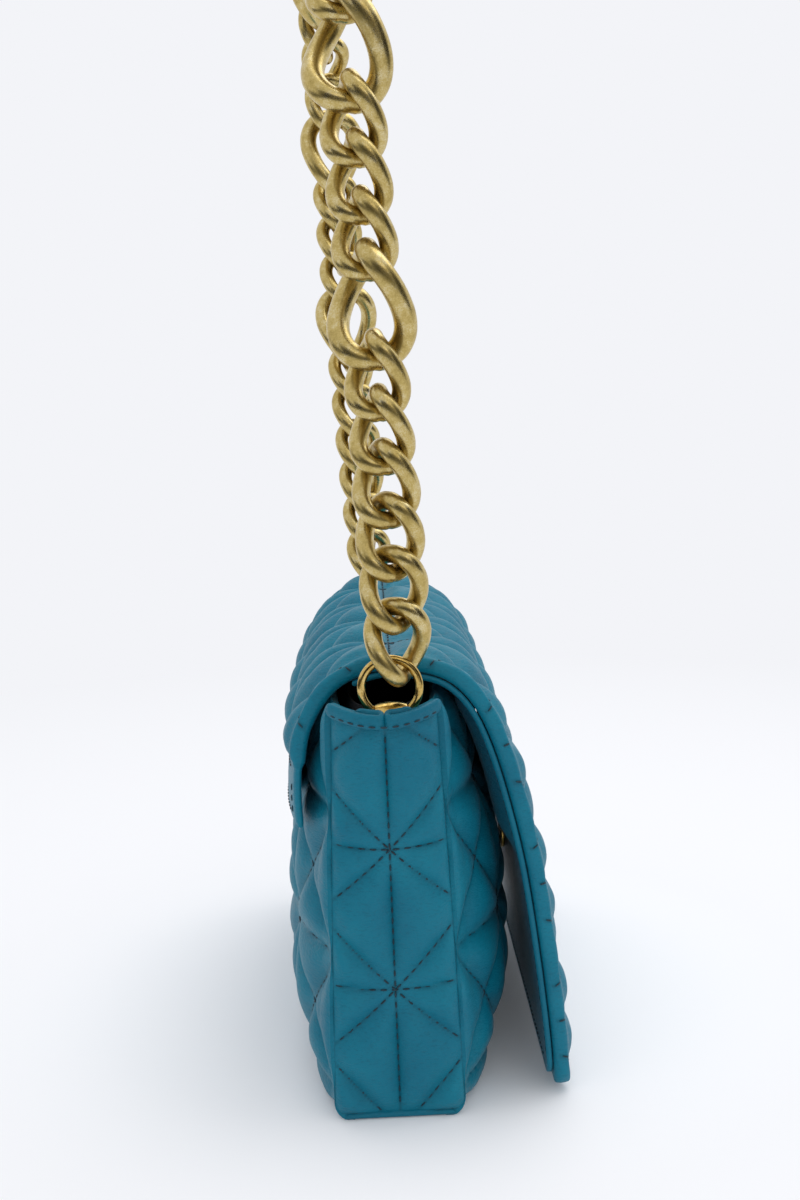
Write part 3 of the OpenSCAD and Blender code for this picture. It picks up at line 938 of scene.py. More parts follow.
# %% Flap line
FLAP_TOP = 180.0
FLAP_REACH = 65.0
FLAP_FALL = 178.0
FLAP_STEP = 1.3
FLAP_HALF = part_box("flap_panel")[1][0] / MM
BACK_POINTS = [(33.0, 117.5), (33.4, 131.0), (32.2, 146.0), (29.4, 157.4), (21.8, 169.8), (12.3, 176.6)]
FRONT_SHARES = [(0, 0), (0.22, 0.007), (0.41, 0.033), (0.56, 0.091), (0.67, 0.18),
                (0.77, 0.31), (0.86, 0.47), (0.93, 0.67), (0.98, 0.86), (1, 1)]
front_points = [(-FLAP_REACH * a, FLAP_TOP - FLAP_FALL * b) for a, b in FRONT_SHARES]
flap_path = smooth_path(BACK_POINTS + front_points, FLAP_STEP)
flap_heading = unit(np.gradient(flap_path, axis=0))
flap_out = np.stack([flap_heading[:, 1], -flap_heading[:, 0]], axis=1)
flap_out *= np.sign(flap_out[len(flap_out) // 2, 1])
flap_run = run_along(flap_path)
flap_length = flap_run[-1]
print("flap skin is", round(flap_length, 1), "mm from end to end")

# %% [markdown]
# ## Sheets along the flap's line
# The skin and its facing both follow that line, the one outside and the other
# inside. A sheet is therefore given by how far along the line and how far to the
# side each point lies. The rows crowd at the edges, so that these can turn round
# smoothly, and the front corners are cut round by narrowing the last rows.

# %% Flap sheets
EDGE_ROWS = 7
FLAP_CORNER = 8.0


def edge_rows(length, edge, step):
    """Places from 0 to length, close together where the edges turn round."""
    turn = edge * (1 - np.cos(np.linspace(0, 1, EDGE_ROWS) * math.pi / 2))
    inner = np.linspace(edge, length - edge, int(round((length - 2 * edge) / step)) + 1)
    return np.concatenate([turn, inner[1:-1], length - turn[::-1]])


def round_edge(distance, edge):
    return np.sqrt(1 - (1 - np.clip(distance / edge, 0, 1)) ** 2)


def at_run(run, values):
    return np.stack([np.interp(run, flap_run, values[:, k]) for k in range(2)], axis=-1)


def flap_sheet(run, side, widest, end):
    """Points and normals on the flap's line, and half of its length at each point."""
    side, run = np.meshgrid(side, run)
    near_end = np.clip(1 - (end - run) / FLAP_CORNER, 0, 1)
    half = widest - FLAP_CORNER * (1 - np.sqrt(1 - near_end ** 2))
    place, out = at_run(run, flap_path), at_run(run, flap_out)
    points = np.stack([side * half / widest, place[..., 0], place[..., 1]], axis=2)
    return points, np.stack([np.zeros_like(half), out[..., 0], out[..., 1]], axis=2), run, half


# %% [markdown]
# ## The flap's skin
# Because the flap bends at its fold, the skin is one mesh that runs from the
# body's back over the fold to the flap's front end. Its back end is a flat,
# stitched strip, and the star pattern starts after it. Two separate pieces
# would tear apart at the fold when the flap opens.

# %% Flap skin sheet
SKIN_OUT = 4.0
SKIN_IN = -1.7
SKIN_EDGE = 2.85
SKIN_STEP = 1.35
STAR_FRONT_Z = 146.0
SKIN_END_MARGIN = 6

skin_rows = edge_rows(flap_length, SKIN_EDGE, SKIN_STEP)
skin_columns = edge_rows(2 * FLAP_HALF, SKIN_EDGE, SKIN_STEP) - FLAP_HALF
middle, normal, run, half = flap_sheet(skin_rows, skin_columns, FLAP_HALF, flap_length)
x, z = middle[..., 0], middle[..., 2]
behind = swell(x, z, BACK_SWELL) - swell(FLAP_HALF, z, BACK_SWELL)
middle[..., 1] += behind * (middle[..., 1] > 0)
in_front = flap_path[:, 0] < 0
star_run = np.interp(-STAR_FRONT_Z, -flap_path[in_front, 1], flap_run[in_front])
side_gap = half - np.abs(x)
end_gap = np.minimum(run, flap_length - run)
edge_gap = np.minimum(side_gap, end_gap)
a = (x - PANEL_STAR_X0) / PANEL_STARS_X
b = (run - star_run) / STAR_PITCH
distances = line_distances(a, b, PANEL_STARS_X, STAR_PITCH) + [end_gap + SKIN_END_MARGIN]
print("the first front star is", round(float(star_run), 1), "mm along the skin")

# %% Flap skin pillows
FLAP_PUFF = 5.4
FLAP_SINK = -1.6
FLAP_WAVES = 0.3
SIDE_CALM = 9.0
EDGE_PUFF = 0.35
SINK_MARGIN = 3.5
TAIL_LENGTH = 26.0
TAIL_STEP = 2.5
TAIL_THINNER = 0.42
SEAM_DIP, SEAM_DIP_WIDTH = 1.1, 1.2

calm_edge = fade(side_gap, 0, SIDE_CALM)
flat_tail = np.clip((TAIL_LENGTH - run) / TAIL_STEP, 0, 1)
padded_part = 1 - flat_tail
seam_dip = SEAM_DIP * np.exp(-((run - TAIL_LENGTH) / SEAM_DIP_WIDTH) ** 2)
puff = (pillow(distances) * calm_edge + EDGE_PUFF * (1 - calm_edge)) * padded_part
sink = FLAP_SINK * padded_part * np.clip(edge_gap / SINK_MARGIN, 0, 1)
waves = soft_waves(x, run, FLAP_WAVES) * calm_edge * padded_part
rounding = round_edge(edge_gap, SKIN_EDGE)
centre = (SKIN_OUT + SKIN_IN) / 2
half_thick = (SKIN_OUT - SKIN_IN) / 2 * (1 - TAIL_THINNER * flat_tail)
top = centre + (half_thick + sink + FLAP_PUFF * puff - seam_dip + waves) * rounding
outer = middle + normal * top[..., None]
inner = middle + normal * (centre - half_thick * rounding)[..., None]
flap_skin = closed_shell("flap_skin", outer, inner, seam_shade_of(distances) * padded_part)
dress(flap_skin, quilted_leather, "quilted_leather", "fold", "flap_panel", "flap_strip")

# %% [markdown]
# ## The flap's thread
# The quilting thread follows the skin across the fold, so like the skin it is
# hung on neither body. The strip at the back has its own row of stitches along
# all four sides, which hold it to the body, so they ride on the bag alone.

# %% Flap thread
STRIP_SEAM = 4.0
STRIP_CUT = 12
STRIP_SIDES = (8, -9)
BACK_SEAM_Z = 143


def on_pillows(path):
    return (path[:, 2] > BACK_SEAM_Z) | (path[:, 1] < 0)


def row_at(sheet, value):
    """Number of the row or column whose value is nearest."""
    return int(np.argmin(np.abs(sheet - value)))


sew("flap_thread", sheet_lines(outer, normal, 0.0, line_sets(a, b), on_pillows), "fold", lift=0.1)
low_row, high_row = (row_at(run[:, 0], at) for at in (STRIP_SEAM, TAIL_LENGTH - STRIP_SEAM))
strip_lines = [(outer[r, STRIP_CUT:-STRIP_CUT], normal[r, STRIP_CUT:-STRIP_CUT]) for r in (low_row, high_row)]
strip_lines += [(outer[low_row:high_row, c], normal[low_row:high_row, c]) for c in STRIP_SIDES]
sew("strip_thread", strip_lines, "bag")

# %% [markdown]
# ## The facing
# A thinner leather lines the flap's inside and is a little shorter. Its edge is
# piped, and at its middle it sags towards the body, so that no light shows
# between them under the fold. It is rigid enough to move with the flap.

# %% Facing
FACING_START = 66.0
FACING_SHORT = 5.0
FACING_NARROW = 0.6
FACING_EDGE = 1.0
FACING_IN = (-2.0, -4.0)
FACING_ROW_STEP, FACING_COLUMN_STEP = 2.4, 3.0
FACING_BULGE = 4.6
FACING_BULGE_OUTSIDE = 0.8
# Where the bulge fades: from the middle out, from below and from above, in millimetres
BULGE_SIDES, BULGE_FOOT, BULGE_TOP = (110, 85), (94, 112), (174, 162)
PIPING, PIPING_IN, PIPING_WIDTH = 0.5, 1.6, 1.2
FACING_WAVES, WAVES_MARGIN = 0.15, 10

facing_end = flap_length - FACING_SHORT
facing_half = FLAP_HALF - FACING_NARROW
facing_rows = FACING_START + edge_rows(facing_end - FACING_START, FACING_EDGE, FACING_ROW_STEP)
facing_columns = edge_rows(2 * facing_half, FACING_EDGE, FACING_COLUMN_STEP) - facing_half
middle, normal, run, half = flap_sheet(facing_rows, facing_columns, facing_half, facing_end)
x, z = middle[..., 0], middle[..., 2]
gap = np.minimum(half - np.abs(x), np.minimum(run - FACING_START, facing_end - run))
rounding = round_edge(gap, FACING_EDGE)
waves = soft_waves(x, run, FACING_WAVES) * np.clip(gap / WAVES_MARGIN, 0, 1)
piped = np.exp(-((gap - PIPING_IN) / PIPING_WIDTH) ** 2) * PIPING + waves
bulge = FACING_BULGE * fade(np.abs(x), *BULGE_SIDES) * fade(z, *BULGE_FOOT) * fade(z, *BULGE_TOP)
bulge *= middle[..., 1] < 0
centre = sum(FACING_IN) / 2
outer = middle + normal * (centre - bulge * FACING_BULGE_OUTSIDE + rounding)[..., None]
inner = middle + normal * (centre - bulge - rounding * (1 + piped))[..., None]
facing = closed_shell("flap_facing_leather", inner, outer)
dress(facing, smooth_leather, "smooth_leather", "flap", "flap_facing")

# %% Facing thread
FACING_SEAM = 3.2
FACING_SIDE_SEAM = 4.4
FACING_CUT, FACING_FIRST = 10, 6
last_row = row_at(run[:, 0], facing_end - FACING_SEAM)
column = row_at(facing_columns, FACING_SIDE_SEAM - FLAP_HALF)
facing_lines = [(inner[last_row, FACING_CUT:-FACING_CUT], -normal[last_row, FACING_CUT:-FACING_CUT])]
facing_lines += [(inner[FACING_FIRST:last_row, c], -normal[FACING_FIRST:last_row, c])
                 for c in (column, -1 - column)]
sew("facing_thread", facing_lines, "flap", lift=0.1)

# %% [markdown]
# ## Rings
# Each ring is a round wire bent to a circle, whose ends meet low on one side. A
# torus is that shape already. Its vertices are drawn in a little at the joint,
# so that the meeting ends show as a fine line.

# %% Rings
RING_RADIUS = 10.9
RING_WIRE = 3.2
JOINT_ANGLE, JOINT_WIDTH, JOINT_DEPTH = -70, 1.6, 0.12
ring_low, ring_high = (np.array(corner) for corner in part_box("left_ring"))
RING_X = -ring_low[0] / MM - RING_WIRE / 2
RING_Y = (ring_low[1] + ring_high[1]) / 2 / MM
RING_Z = (ring_low[2] + ring_high[2]) / 2 / MM

for side, node in ((-1, "left_ring"), (1, "right_ring")):
    ring = primitive(node + "_wire", bpy.ops.mesh.primitive_torus_add, major_segments=120, minor_segments=28,
                     major_radius=RING_RADIUS * MM, minor_radius=RING_WIRE / 2 * MM,
                     rotation=(0, math.pi / 2, 0), location=(side * RING_X * MM, RING_Y * MM, RING_Z * MM))
    points = points_of(apply_place(ring)) / MM
    angle = np.arctan2(points[:, 2] - RING_Z, points[:, 1] - RING_Y)
    joint = np.exp(-((np.degrees(angle) - JOINT_ANGLE) / JOINT_WIDTH) ** 2)
    centre_line = np.stack([np.full(len(points), side * RING_X), RING_Y + RING_RADIUS * np.cos(angle),
                            RING_Z + RING_RADIUS * np.sin(angle)], axis=1)
    move_points(ring, centre_line + (points - centre_line) * (1 - JOINT_DEPTH * joint)[:, None])
    dress(smooth(ring, 70), ring_gold, "gold_metal", "strap", node)

# %% [markdown]
# ## Leather loops
# Each ring hangs in a leather strip that is folded round it and sewn inside the
# mouth. The strip's line is drawn first, down, round the ring and down again,
# and its two faces are set off from that line by half of its thickness.

# %% Loops
LOOP_WIDTH = 10.0
LOOP_THICK = 1.5
LOOP_EDGE, LOOP_STEP = 0.7, 0.8
LOOP_PLAY = 0.3
SLEEVE_ROOM = 1.21
LOOP_RADIUS = RING_WIRE / 2 + LOOP_PLAY + SLEEVE_ROOM + LOOP_THICK / 2
LOOP_TURN = (-20, 290)
LOOP_ROWS, TAIL_ROWS = 64, 12
LOOP_TAIL = 26.0
# Each tail is a line from (out, up) to (out, up), measured from the ring's lowest point
FRONT_TAIL = ((LOOP_RADIUS - 0.1, -LOOP_TAIL), (LOOP_RADIUS, -3))
BACK_TAIL = ((LOOP_RADIUS - 2.3, -4.6), (LOOP_RADIUS - 1.7, -LOOP_TAIL))
loop_z = RING_Z - RING_RADIUS
turn = np.radians(np.linspace(*LOOP_TURN, LOOP_ROWS))
loop = np.stack([LOOP_RADIUS * np.cos(turn), LOOP_RADIUS * np.sin(turn)], axis=1)
line = np.concatenate([np.linspace(*FRONT_TAIL, TAIL_ROWS), loop, np.linspace(*BACK_TAIL, TAIL_ROWS)])
heading = unit(np.gradient(line, axis=0))
sideways = np.stack([-heading[:, 1], heading[:, 0]], axis=1)
across = edge_rows(LOOP_WIDTH, LOOP_EDGE, LOOP_STEP) - LOOP_WIDTH / 2
half_thick = round_edge(LOOP_WIDTH / 2 - np.abs(across), LOOP_EDGE) * LOOP_THICK / 2


def loop_sheet(side, face):
    """One face of the strip: face is 1 or -1."""
    flat = line[:, None] + sideways[:, None] * (face * half_thick)[None, :, None]
    y = RING_Y + np.broadcast_to(across[None, :], flat.shape[:2])
    return np.stack([side * (RING_X - flat[..., 0]), y, loop_z + flat[..., 1]], axis=2)


for side, node in ((-1, "left_tab"), (1, "right_tab")):
    tab = closed_shell(node + "_loop", loop_sheet(side, 1), loop_sheet(side, -1))
    dress(tab, smooth_leather, "smooth_leather", "bag", node)

# %% [markdown]
# ## Metal sleeves
# A narrow metal saddle lies over each loop and saves the leather from the ring.
# It is a bent strip with a low crown across its width, which catches the light
# as a thin crescent inside the ring.

# %% Sleeves
SLEEVE_HALF = 6.2
SLEEVE_RADIUS = 5.5
SLEEVE_CROWN = 0.9
SLEEVE_THICK = 0.8
SLEEVE_STEP = 0.5
SLEEVE_TURN = (-12, 192)
across = edge_rows(2 * SLEEVE_HALF, SLEEVE_THICK / 2, SLEEVE_STEP) - SLEEVE_HALF
y, angle = np.meshgrid(across, np.radians(np.linspace(*SLEEVE_TURN, 60)))
half_thick = round_edge(SLEEVE_HALF - np.abs(y), SLEEVE_THICK / 2) * SLEEVE_THICK / 2
crowned = SLEEVE_RADIUS - SLEEVE_THICK / 2 - SLEEVE_CROWN * (y / SLEEVE_HALF) ** 2


def sleeve_sheet(side, face):
    radius = crowned + face * half_thick
    x, z = RING_X - radius * np.cos(angle), loop_z + radius * np.sin(angle)
    return np.stack([side * x, RING_Y + y, z], axis=2)


for side, node in ((-1, "left_ring_sleeve"), (1, "right_ring_sleeve")):
    sleeve = closed_shell(node + "_saddle", sleeve_sheet(side, 1), sleeve_sheet(side, -1))
    dress(sleeve, ring_gold, "gold_metal", "bag", node)

# %% [markdown]
# ## Where the links lie
# The strap stands up from the rings as two legs and an arch. Each link lies one
# reach after the last, less a little play, along a line that rises, bends over
# in a half circle and falls again. Large links follow every three small ones in
# the middle of the strap, and each end has six small ones.

# %% Chain line
SMALL_LINK = (34.0, 26.0, 7.0)
LARGE_LINK = (47.5, 35.0, 8.5)
END_LINKS, MID_LINKS, LARGE_LINKS = 6, 3, 7
LINK_PLAY = 0.3
STRAP_SIDE = 4.0
chain_links = 2 * END_LINKS + LARGE_LINKS + MID_LINKS * (LARGE_LINKS - 1)


def link_size(k):
    """Length, width and wire of the link with number k, counted from 1."""
    in_middle = END_LINKS < k <= chain_links - END_LINKS
    return LARGE_LINK if in_middle and (k - END_LINKS - 1) % (MID_LINKS + 1) == 0 else SMALL_LINK


def reach(k):
    """From the middle of a link to the inside of its end."""
    length, width, wire = link_size(k)
    return length / 2 - wire


link_runs = [0.0]
for k in range(2, chain_links + 1):
    link_runs.append(link_runs[-1] + reach(k - 1) + reach(k) - LINK_PLAY)
hook_radius = RING_RADIUS - RING_WIRE / 2 - LINK_PLAY - SMALL_LINK[2] / 2
first_z = RING_Z + math.sqrt(hook_radius ** 2 - STRAP_SIDE ** 2) + (SMALL_LINK[0] - SMALL_LINK[2]) / 2
arch_run = math.pi * RING_X
leg_rise = (link_runs[-1] - arch_run) / 2
arch_z = first_z + leg_rise
print("links", chain_links, "top of the arch", round(arch_z + RING_X, 1), "mm")

# %% Place of a link
LEAN_LEFT, LEAN_RIGHT = 1.3, 4.2
FIRST_TURN = 60.0
TURNED_LINKS = 4


def chain_place(k):
    """The link's place on the arch, as a matrix in millimetres."""
    run = link_runs[k - 1]
    share = run / (2 * leg_rise + arch_run)
    lean = math.radians(LEAN_LEFT + (LEAN_RIGHT - LEAN_LEFT) * share)
    angle = min(max(math.pi * (run - leg_rise) / arch_run, 0), math.pi)
    if 0 < angle < math.pi:
        x, z = -RING_X * math.cos(angle), arch_z + RING_X * math.sin(angle)
    else:
        x, z = (-RING_X, first_z + run) if angle == 0 else (RING_X, arch_z - (run - leg_rise - arch_run))
    roll = math.radians(FIRST_TURN * max(0, 1 - (k - 1) / TURNED_LINKS))
    y = RING_Y + STRAP_SIDE * (2 * share - 1) + (z - RING_Z) * math.tan(lean)
    return (Matrix.Translation((x, y, z)) @ Matrix.Rotation(-lean, 4, "X")
            @ Matrix.Rotation(angle, 4, "Y") @ Matrix.Rotation(roll, 4, "Z"))


# %% [markdown]
# ## Curb links
# A curb link is an oval bent from round wire and twisted, so that the links lie
# flat against each other. It could be a bevelled curve, but a curve can't show
# where the wire's ends meet. So each link starts as a torus, and a formula
# stretches it to the oval, squares its corners a little, twists it along its
# length and draws it in at the joint. The ends meet at the bottom of each link.

# %% Shape of a link
LINK_SQUARE = 0.8
LINK_TWIST = -105.0
LINK_TURN = -LINK_TWIST / 2
LINK_JOINT_ANGLE, LINK_JOINT_WIDTH, LINK_JOINT_DEPTH = -90, 1.1, 0.09
ANGLE_STEP = 0.02


def link_middle(size, turn):
    length, width, wire = size
    z = (length - wire) / 2 * squared(np.sin(turn), LINK_SQUARE)
    r = (width - wire) / 2 * squared(np.cos(turn), LINK_SQUARE)
    twist = np.radians(LINK_TURN + LINK_TWIST * z / (length - wire))
    return np.stack([r * np.cos(twist), r * np.sin(twist), z], axis=1)


def link_shape(size, ring_angle, wire_angle):
    """Places of a torus's vertices on the twisted link, from their two angles."""
    middle = link_middle(size, ring_angle)
    heading = unit(link_middle(size, ring_angle + ANGLE_STEP) - link_middle(size, ring_angle - ANGLE_STEP))
    outward = unit(middle - heading * np.sum(middle * heading, axis=1, keepdims=True))
    sideways = np.cross(heading, outward)
    joint = np.exp(-((np.degrees(ring_angle) - LINK_JOINT_ANGLE) / LINK_JOINT_WIDTH) ** 2)
    radius = size[2] / 2 * (1 - LINK_JOINT_DEPTH * joint)
    around = np.cos(wire_angle)[:, None] * outward + np.sin(wire_angle)[:, None] * sideways
    return middle + radius[:, None] * around


# %% Chain
for k in range(1, chain_links + 1):
    link = primitive(f"chain_link_{k:02d}", bpy.ops.mesh.primitive_torus_add, major_segments=88,
                     minor_segments=20, major_radius=1, minor_radius=0.25)
    x, y, z = points_of(link).T
    shape = link_shape(link_size(k), np.arctan2(y, x), np.arctan2(z, np.hypot(x, y) - 1))
    place = np.array(chain_place(k))
    move_points(link, shape @ place[:3, :3].T + place[:3, 3])
    dress(smooth(link, 80), chain_gold, "aged_gold", "strap", f"link_{k:02d}")

# %% [markdown]
# ## Lining
# The lining is a thin cloth cup that hangs from the mouth. Its wall is a sheet
# of rings, each a little smaller than the body, and its last rings close to a
# line as the bottom. Solidify then gives the cloth its thickness, which is alike
# everywhere, so that no second sheet is needed.

# %% Lining
LINING_GAP = 7.6
LINING_END = 119.0
LINING_LOW, LINING_RIM = 7.0, 1.2
LINING_DEPTH_FLOOR = 9.0
LINING_SHARE_X = 0.98
LINING_THICK = 0.8
LINING_LEVELS, LINING_TURNS = 46, 129
# Share of the levels that make the bottom, and how much its ends draw in
BOTTOM_SHARE, BOTTOM_SHRINK = 0.2, 0.02
WALL_SHARE = 1 - BOTTOM_SHARE
END_SQUARE, SIDE_SQUARE = 0.45, 0.35
LINING_WAVES, RIM_CALM = 0.5, 30

turn = np.linspace(0, 2 * math.pi, LINING_TURNS)
ring_x = LINING_END * squared(np.cos(turn), END_SQUARE)
x, level = np.meshgrid(ring_x, np.linspace(0, 1, LINING_LEVELS))
side_share = np.broadcast_to(squared(np.sin(turn), SIDE_SQUARE)[None, :], x.shape)
z = LINING_LOW + (HEIGHT - LINING_RIM - LINING_LOW) * (1 - np.minimum(level / WALL_SHARE, 1))
full_swell = np.where(side_share < 0, FRONT_SWELL, BACK_SWELL)
depth = panel_out(x * LINING_SHARE_X, np.maximum(z, LINING_DEPTH_FLOOR), full_swell) - LINING_GAP
close = np.clip((level - WALL_SHARE) / BOTTOM_SHARE, 0, 1)
waves = soft_waves(x, z, LINING_WAVES) * (1 - close) * np.clip((HEIGHT - z) / RIM_CALM, 0, 1)
points = np.stack([x * (1 - BOTTOM_SHRINK * close), side_share * depth * (1 - close) + waves, z], axis=2)
lining = close_up(wrap_grid("lining_cup", points))
apply_modifier(lining, "SOLIDIFY", thickness=LINING_THICK * MM, offset=-1)
dress(smooth(lining, 60), lining_cloth, "lining", "bag", "lining")

# %% [markdown]
# ## Slip pocket
# A slip pocket is sewn to the lining's back. It is a flat cloth that stands off a
# little at the top, where a hand goes in, and its hems are two layers thick.

# %% Slip pocket
POCKET_GAP = 1.4
STAND_OFF, STAND_OFF_FROM = 1.6, 50
CLOTH_HALF, HEM_HALF = 0.45, 0.35
HEM_TOP, HEM_SIDE = 9, 5
POCKET_COLUMNS, POCKET_ROWS = 61, 41
POCKET_SEAM_ROW, POCKET_SEAM_COLUMN = 8, 2
pocket_low, pocket_high = (np.array(corner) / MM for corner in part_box("slip_pocket"))
pocket_width, pocket_top = pocket_high[0], pocket_high[2]
x, z = np.meshgrid(np.linspace(pocket_low[0], pocket_width, POCKET_COLUMNS),
                   np.linspace(pocket_top, pocket_low[2], POCKET_ROWS))
stand_off = STAND_OFF * np.clip((z - pocket_top + STAND_OFF_FROM) / STAND_OFF_FROM, 0, 1)
y = panel_out(x, z, BACK_SWELL) - LINING_GAP - POCKET_GAP - stand_off * (1 - (x / pocket_width) ** 2)
hem = CLOTH_HALF + HEM_HALF * ((z > pocket_top - HEM_TOP) | (np.abs(x) > pocket_width - HEM_SIDE))
front = np.stack([x, y - hem, z], axis=2)
pocket = closed_shell("slip_pocket_cloth", np.stack([x, y + hem, z], axis=2), front)
dress(pocket, lining_cloth, "lining", "bag", "slip_pocket")
pocket_seams = (front[POCKET_SEAM_ROW], front[:, POCKET_SEAM_COLUMN], front[:, -1 - POCKET_SEAM_COLUMN])
pocket_lines = [(seam, np.tile([0.0, -1, 0], (len(seam), 1))) for seam in pocket_seams]
sew("pocket_thread", pocket_lines, "bag", lift=0.2)

# %% [markdown]
# ## Base and board
# The base is a plain leather panel with round edges. The board inside it is the
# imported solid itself, because a flat board needs no more than its material.

# %% Base
BASE_TUCK, BASE_SHORT = 3.5, 0.8
BASE_HALF = BASE_WIDTH / 2 - CORNER + BASE_TUCK
BASE_END = HALF_LENGTH - BASE_SHORT
BASE_EDGE = 2.0
BASE_X_STEP, BASE_Y_STEP = 4.0, 1.5
BASE_THICK, BASE_ROUNDING, BASE_CLEAR = 3.0, 1.4, 0.05
x, y = np.meshgrid(edge_rows(2 * BASE_END, BASE_EDGE, BASE_X_STEP) - BASE_END,
                   edge_rows(2 * BASE_HALF, BASE_EDGE, BASE_Y_STEP) - BASE_HALF)
gap = np.minimum(BASE_END - np.abs(x), BASE_HALF - np.abs(y))
rise = BASE_ROUNDING * (1 - round_edge(gap, BASE_EDGE))
base = closed_shell("base_leather", np.stack([x, y, BASE_THICK - rise], axis=2),
                    np.stack([x, y, rise + BASE_CLEAR], axis=2))
dress(base, smooth_leather, "smooth_leather", "bag", "base_panel")
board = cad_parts["base_board"]
board.data.materials.clear()
board.data.materials.append(pressed_board)

# %% [markdown]
# ## The magnetic snap
# A snap half is a turned disc with a rolled rim. Each starts as a cylinder whose
# cap is inset and pushed in, and a bevel rounds its edges. The cap is found by
# its place, since an operator knows nothing of front and back.

# %% Snap
# Steps over the cap: how far each inset goes, and how far it is pushed in, in millimetres
SNAP_STEPS = ((1.4, 0), (0.5, 0.5), (3.2, 0), (0.4, -0.35))
SNAP_BEVEL = 0.3
NEAR = 1e-5
MANY_CORNERS = 10


def snap_half(name, node, body, facing):
    """One half of the snap; facing is -1 where its cap looks to the front and 1 to the back."""
    low, high = (Vector(corner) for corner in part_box(node))
    size = high - low
    disc = primitive(name, bpy.ops.mesh.primitive_cylinder_add, vertices=72, radius=size.x / 2, depth=size.y,
                     location=(low + high) / 2, rotation=(math.pi / 2, 0, 0))
    apply_place(disc)
    cap_y = low.y if facing < 0 else high.y
    bpy.ops.object.mode_set(mode="EDIT")
    bpy.ops.mesh.select_all(action="DESELECT")
    bpy.ops.object.mode_set(mode="OBJECT")
    for face in disc.data.polygons:
        face.select = abs(face.center.y - cap_y) < NEAR and len(face.vertices) > MANY_CORNERS
    bpy.ops.object.mode_set(mode="EDIT")
    for inset, depth in SNAP_STEPS:
        bpy.ops.mesh.inset(thickness=inset * MM, depth=0)
        bpy.ops.transform.translate(value=(0, -facing * depth * MM, 0))
    bpy.ops.object.mode_set(mode="OBJECT")
    apply_modifier(disc, "BEVEL", width=SNAP_BEVEL * MM, segments=3, limit_method="ANGLE")
    dress(smooth(disc, 40), ring_gold, "gold_metal", body, node)


snap_half("snap_socket_disc", "snap_socket", "bag", -1)
snap_half("snap_stud_disc", "snap_stud", "flap", 1)

# %% [markdown]
# ## Floor
# The photograph shows a bright floor that runs into the wall without an edge. A
# bent sweep would need its own light. Here a flat floor glows in the wall's
# colour except near the bag, where it stays plain paint and takes the shadow.

# %% Floor
BACKGROUND = "#f3f4f8"
FLOOR_TONE = "#f4f5f9"
# Distances from the bag's middle in metres, and how much of the floor glows there
FADE = ((0.13, 0.05), (0.2, 0.55), (0.8, 1.0))
floor = primitive("floor", bpy.ops.mesh.primitive_plane_add, size=12)
white, tree, shader, place = material("painted_floor")
shader.inputs["Base Color"].default_value = rgb(FLOOR_TONE)
shader.inputs["Roughness"].default_value = 0.9
away = add(tree, "ShaderNodeVectorMath", {0: place}, operation="LENGTH")
fading = add(tree, "ShaderNodeValToRGB", {"Fac": away.outputs["Value"]}, FADE)
glow = add(tree, "ShaderNodeEmission", Color=rgb(BACKGROUND), Strength=1.0)
seamless = add(tree, "ShaderNodeMixShader",
               {0: fading.outputs["Color"], 1: shader.outputs[0], 2: glow.outputs[0]})
tree.links.new(seamless.outputs[0], tree.nodes["Material Output"].inputs["Surface"])
floor.data.materials.append(white)
print("floor glows fully", FADE[-1][0], "m away")

# %% [markdown]
# ## World
# The world stands for the white room. It lights the bag evenly, but the camera
# and the reflections see the background's own tone instead of the light's, so
# that the two can be set apart.

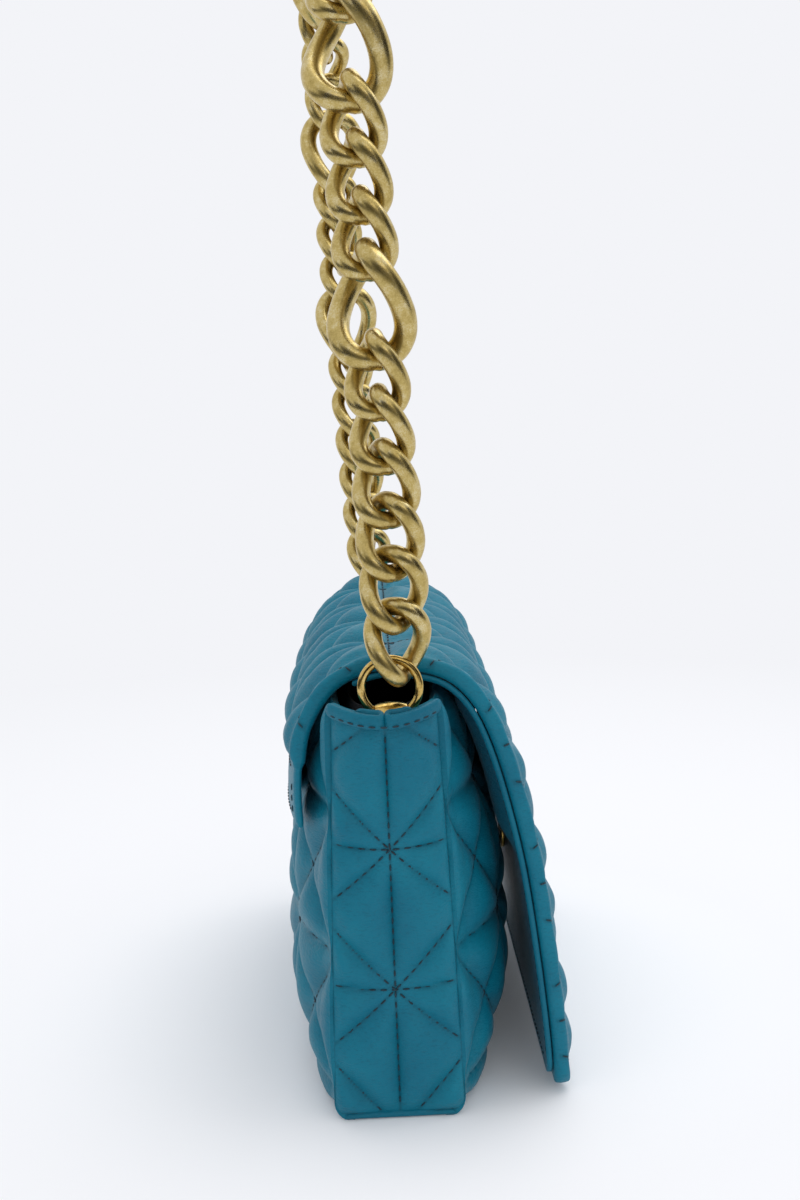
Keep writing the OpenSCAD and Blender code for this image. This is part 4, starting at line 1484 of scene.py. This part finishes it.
# %% World
ROOM_LIGHT = (0.98, 0.99, 1.0, 1)
ROOM_STRENGTH = 0.86
world = bpy.data.worlds.new("world")
bpy.context.scene.world = world
world.use_nodes = True
tree = world.node_tree
tree.nodes.clear()
path_kind = add(tree, "ShaderNodeLightPath").outputs
seen = path_kind["Is Camera Ray"]
for ray in ("Is Glossy Ray", "Is Transmission Ray"):
    seen = add(tree, "ShaderNodeMath", {0: seen, 1: path_kind[ray]}, operation="MAXIMUM").outputs[0]
light = add(tree, "ShaderNodeBackground", Color=ROOM_LIGHT, Strength=ROOM_STRENGTH)
shown = add(tree, "ShaderNodeBackground", Color=rgb(BACKGROUND), Strength=1.0)
mixed = add(tree, "ShaderNodeMixShader", {0: seen, 1: light.outputs[0], 2: shown.outputs[0]})
add(tree, "ShaderNodeOutputWorld", {"Surface": mixed.outputs[0]})
print("world light", ROOM_STRENGTH)

# %% [markdown]
# ## Lamps and cards
# A wide lamp above gives the leather its pale upper sides, and a weak one beside
# the camera lifts the near end. In a white room metal mirrors nothing but white,
# so three dark cards, which only reflections see, give the gold something dark.

# %% Lamps
def aimed(place, target):
    """A place, turned so that its -Z axis points at a target."""
    turn = (Vector(target) - Vector(place)).to_track_quat("-Z", "Y")
    return Matrix.Translation(place) @ turn.to_matrix().to_4x4()


def lamp(name, place, target, size, watts, colour):
    data = bpy.data.lights.new(name, "AREA")
    data.size = size
    data.energy = watts
    data.color = rgb(colour)[:3]
    piece = bpy.data.objects.new(name, data)
    bpy.context.collection.objects.link(piece)
    piece.matrix_world = aimed(place, target)


lamp("top_light", (0.4, -0.4, 1.5), (0, 0, 0.1), 1.6, 11.3, "#ffffff")
lamp("front_light", (-1.6, -0.6, 0.9), (0, 0, 0.12), 1.0, 3, "#fff6ea")


# %% Cards
def dark_card(name, place, target, width, height):
    """A card that only gloss sees, so that the metal has something dark to reflect."""
    card = primitive(name, bpy.ops.mesh.primitive_plane_add, size=1)
    card.matrix_world = aimed(place, target) @ Matrix.Diagonal((width, height, 1, 1))
    dark, tree, shader, _ = material(name)
    shader.inputs["Base Color"].default_value = rgb("#0c0b08")
    shader.inputs["Roughness"].default_value = 1
    card.data.materials.append(dark)
    card.visible_camera = False
    card.visible_diffuse = False
    card.visible_shadow = False
    card.visible_transmission = False


dark_card("right_card", (-0.5, -1.1, 0.35), (0, 0, 0.3), 1.1, 1.6)
dark_card("left_card", (-0.35, 0.9, 0.05), (0, 0, 0.1), 1.8, 0.55)
dark_card("camera_card", (-1.3, 0.1, 0.3), (0, 0, 0.25), 2.4, 1.3)
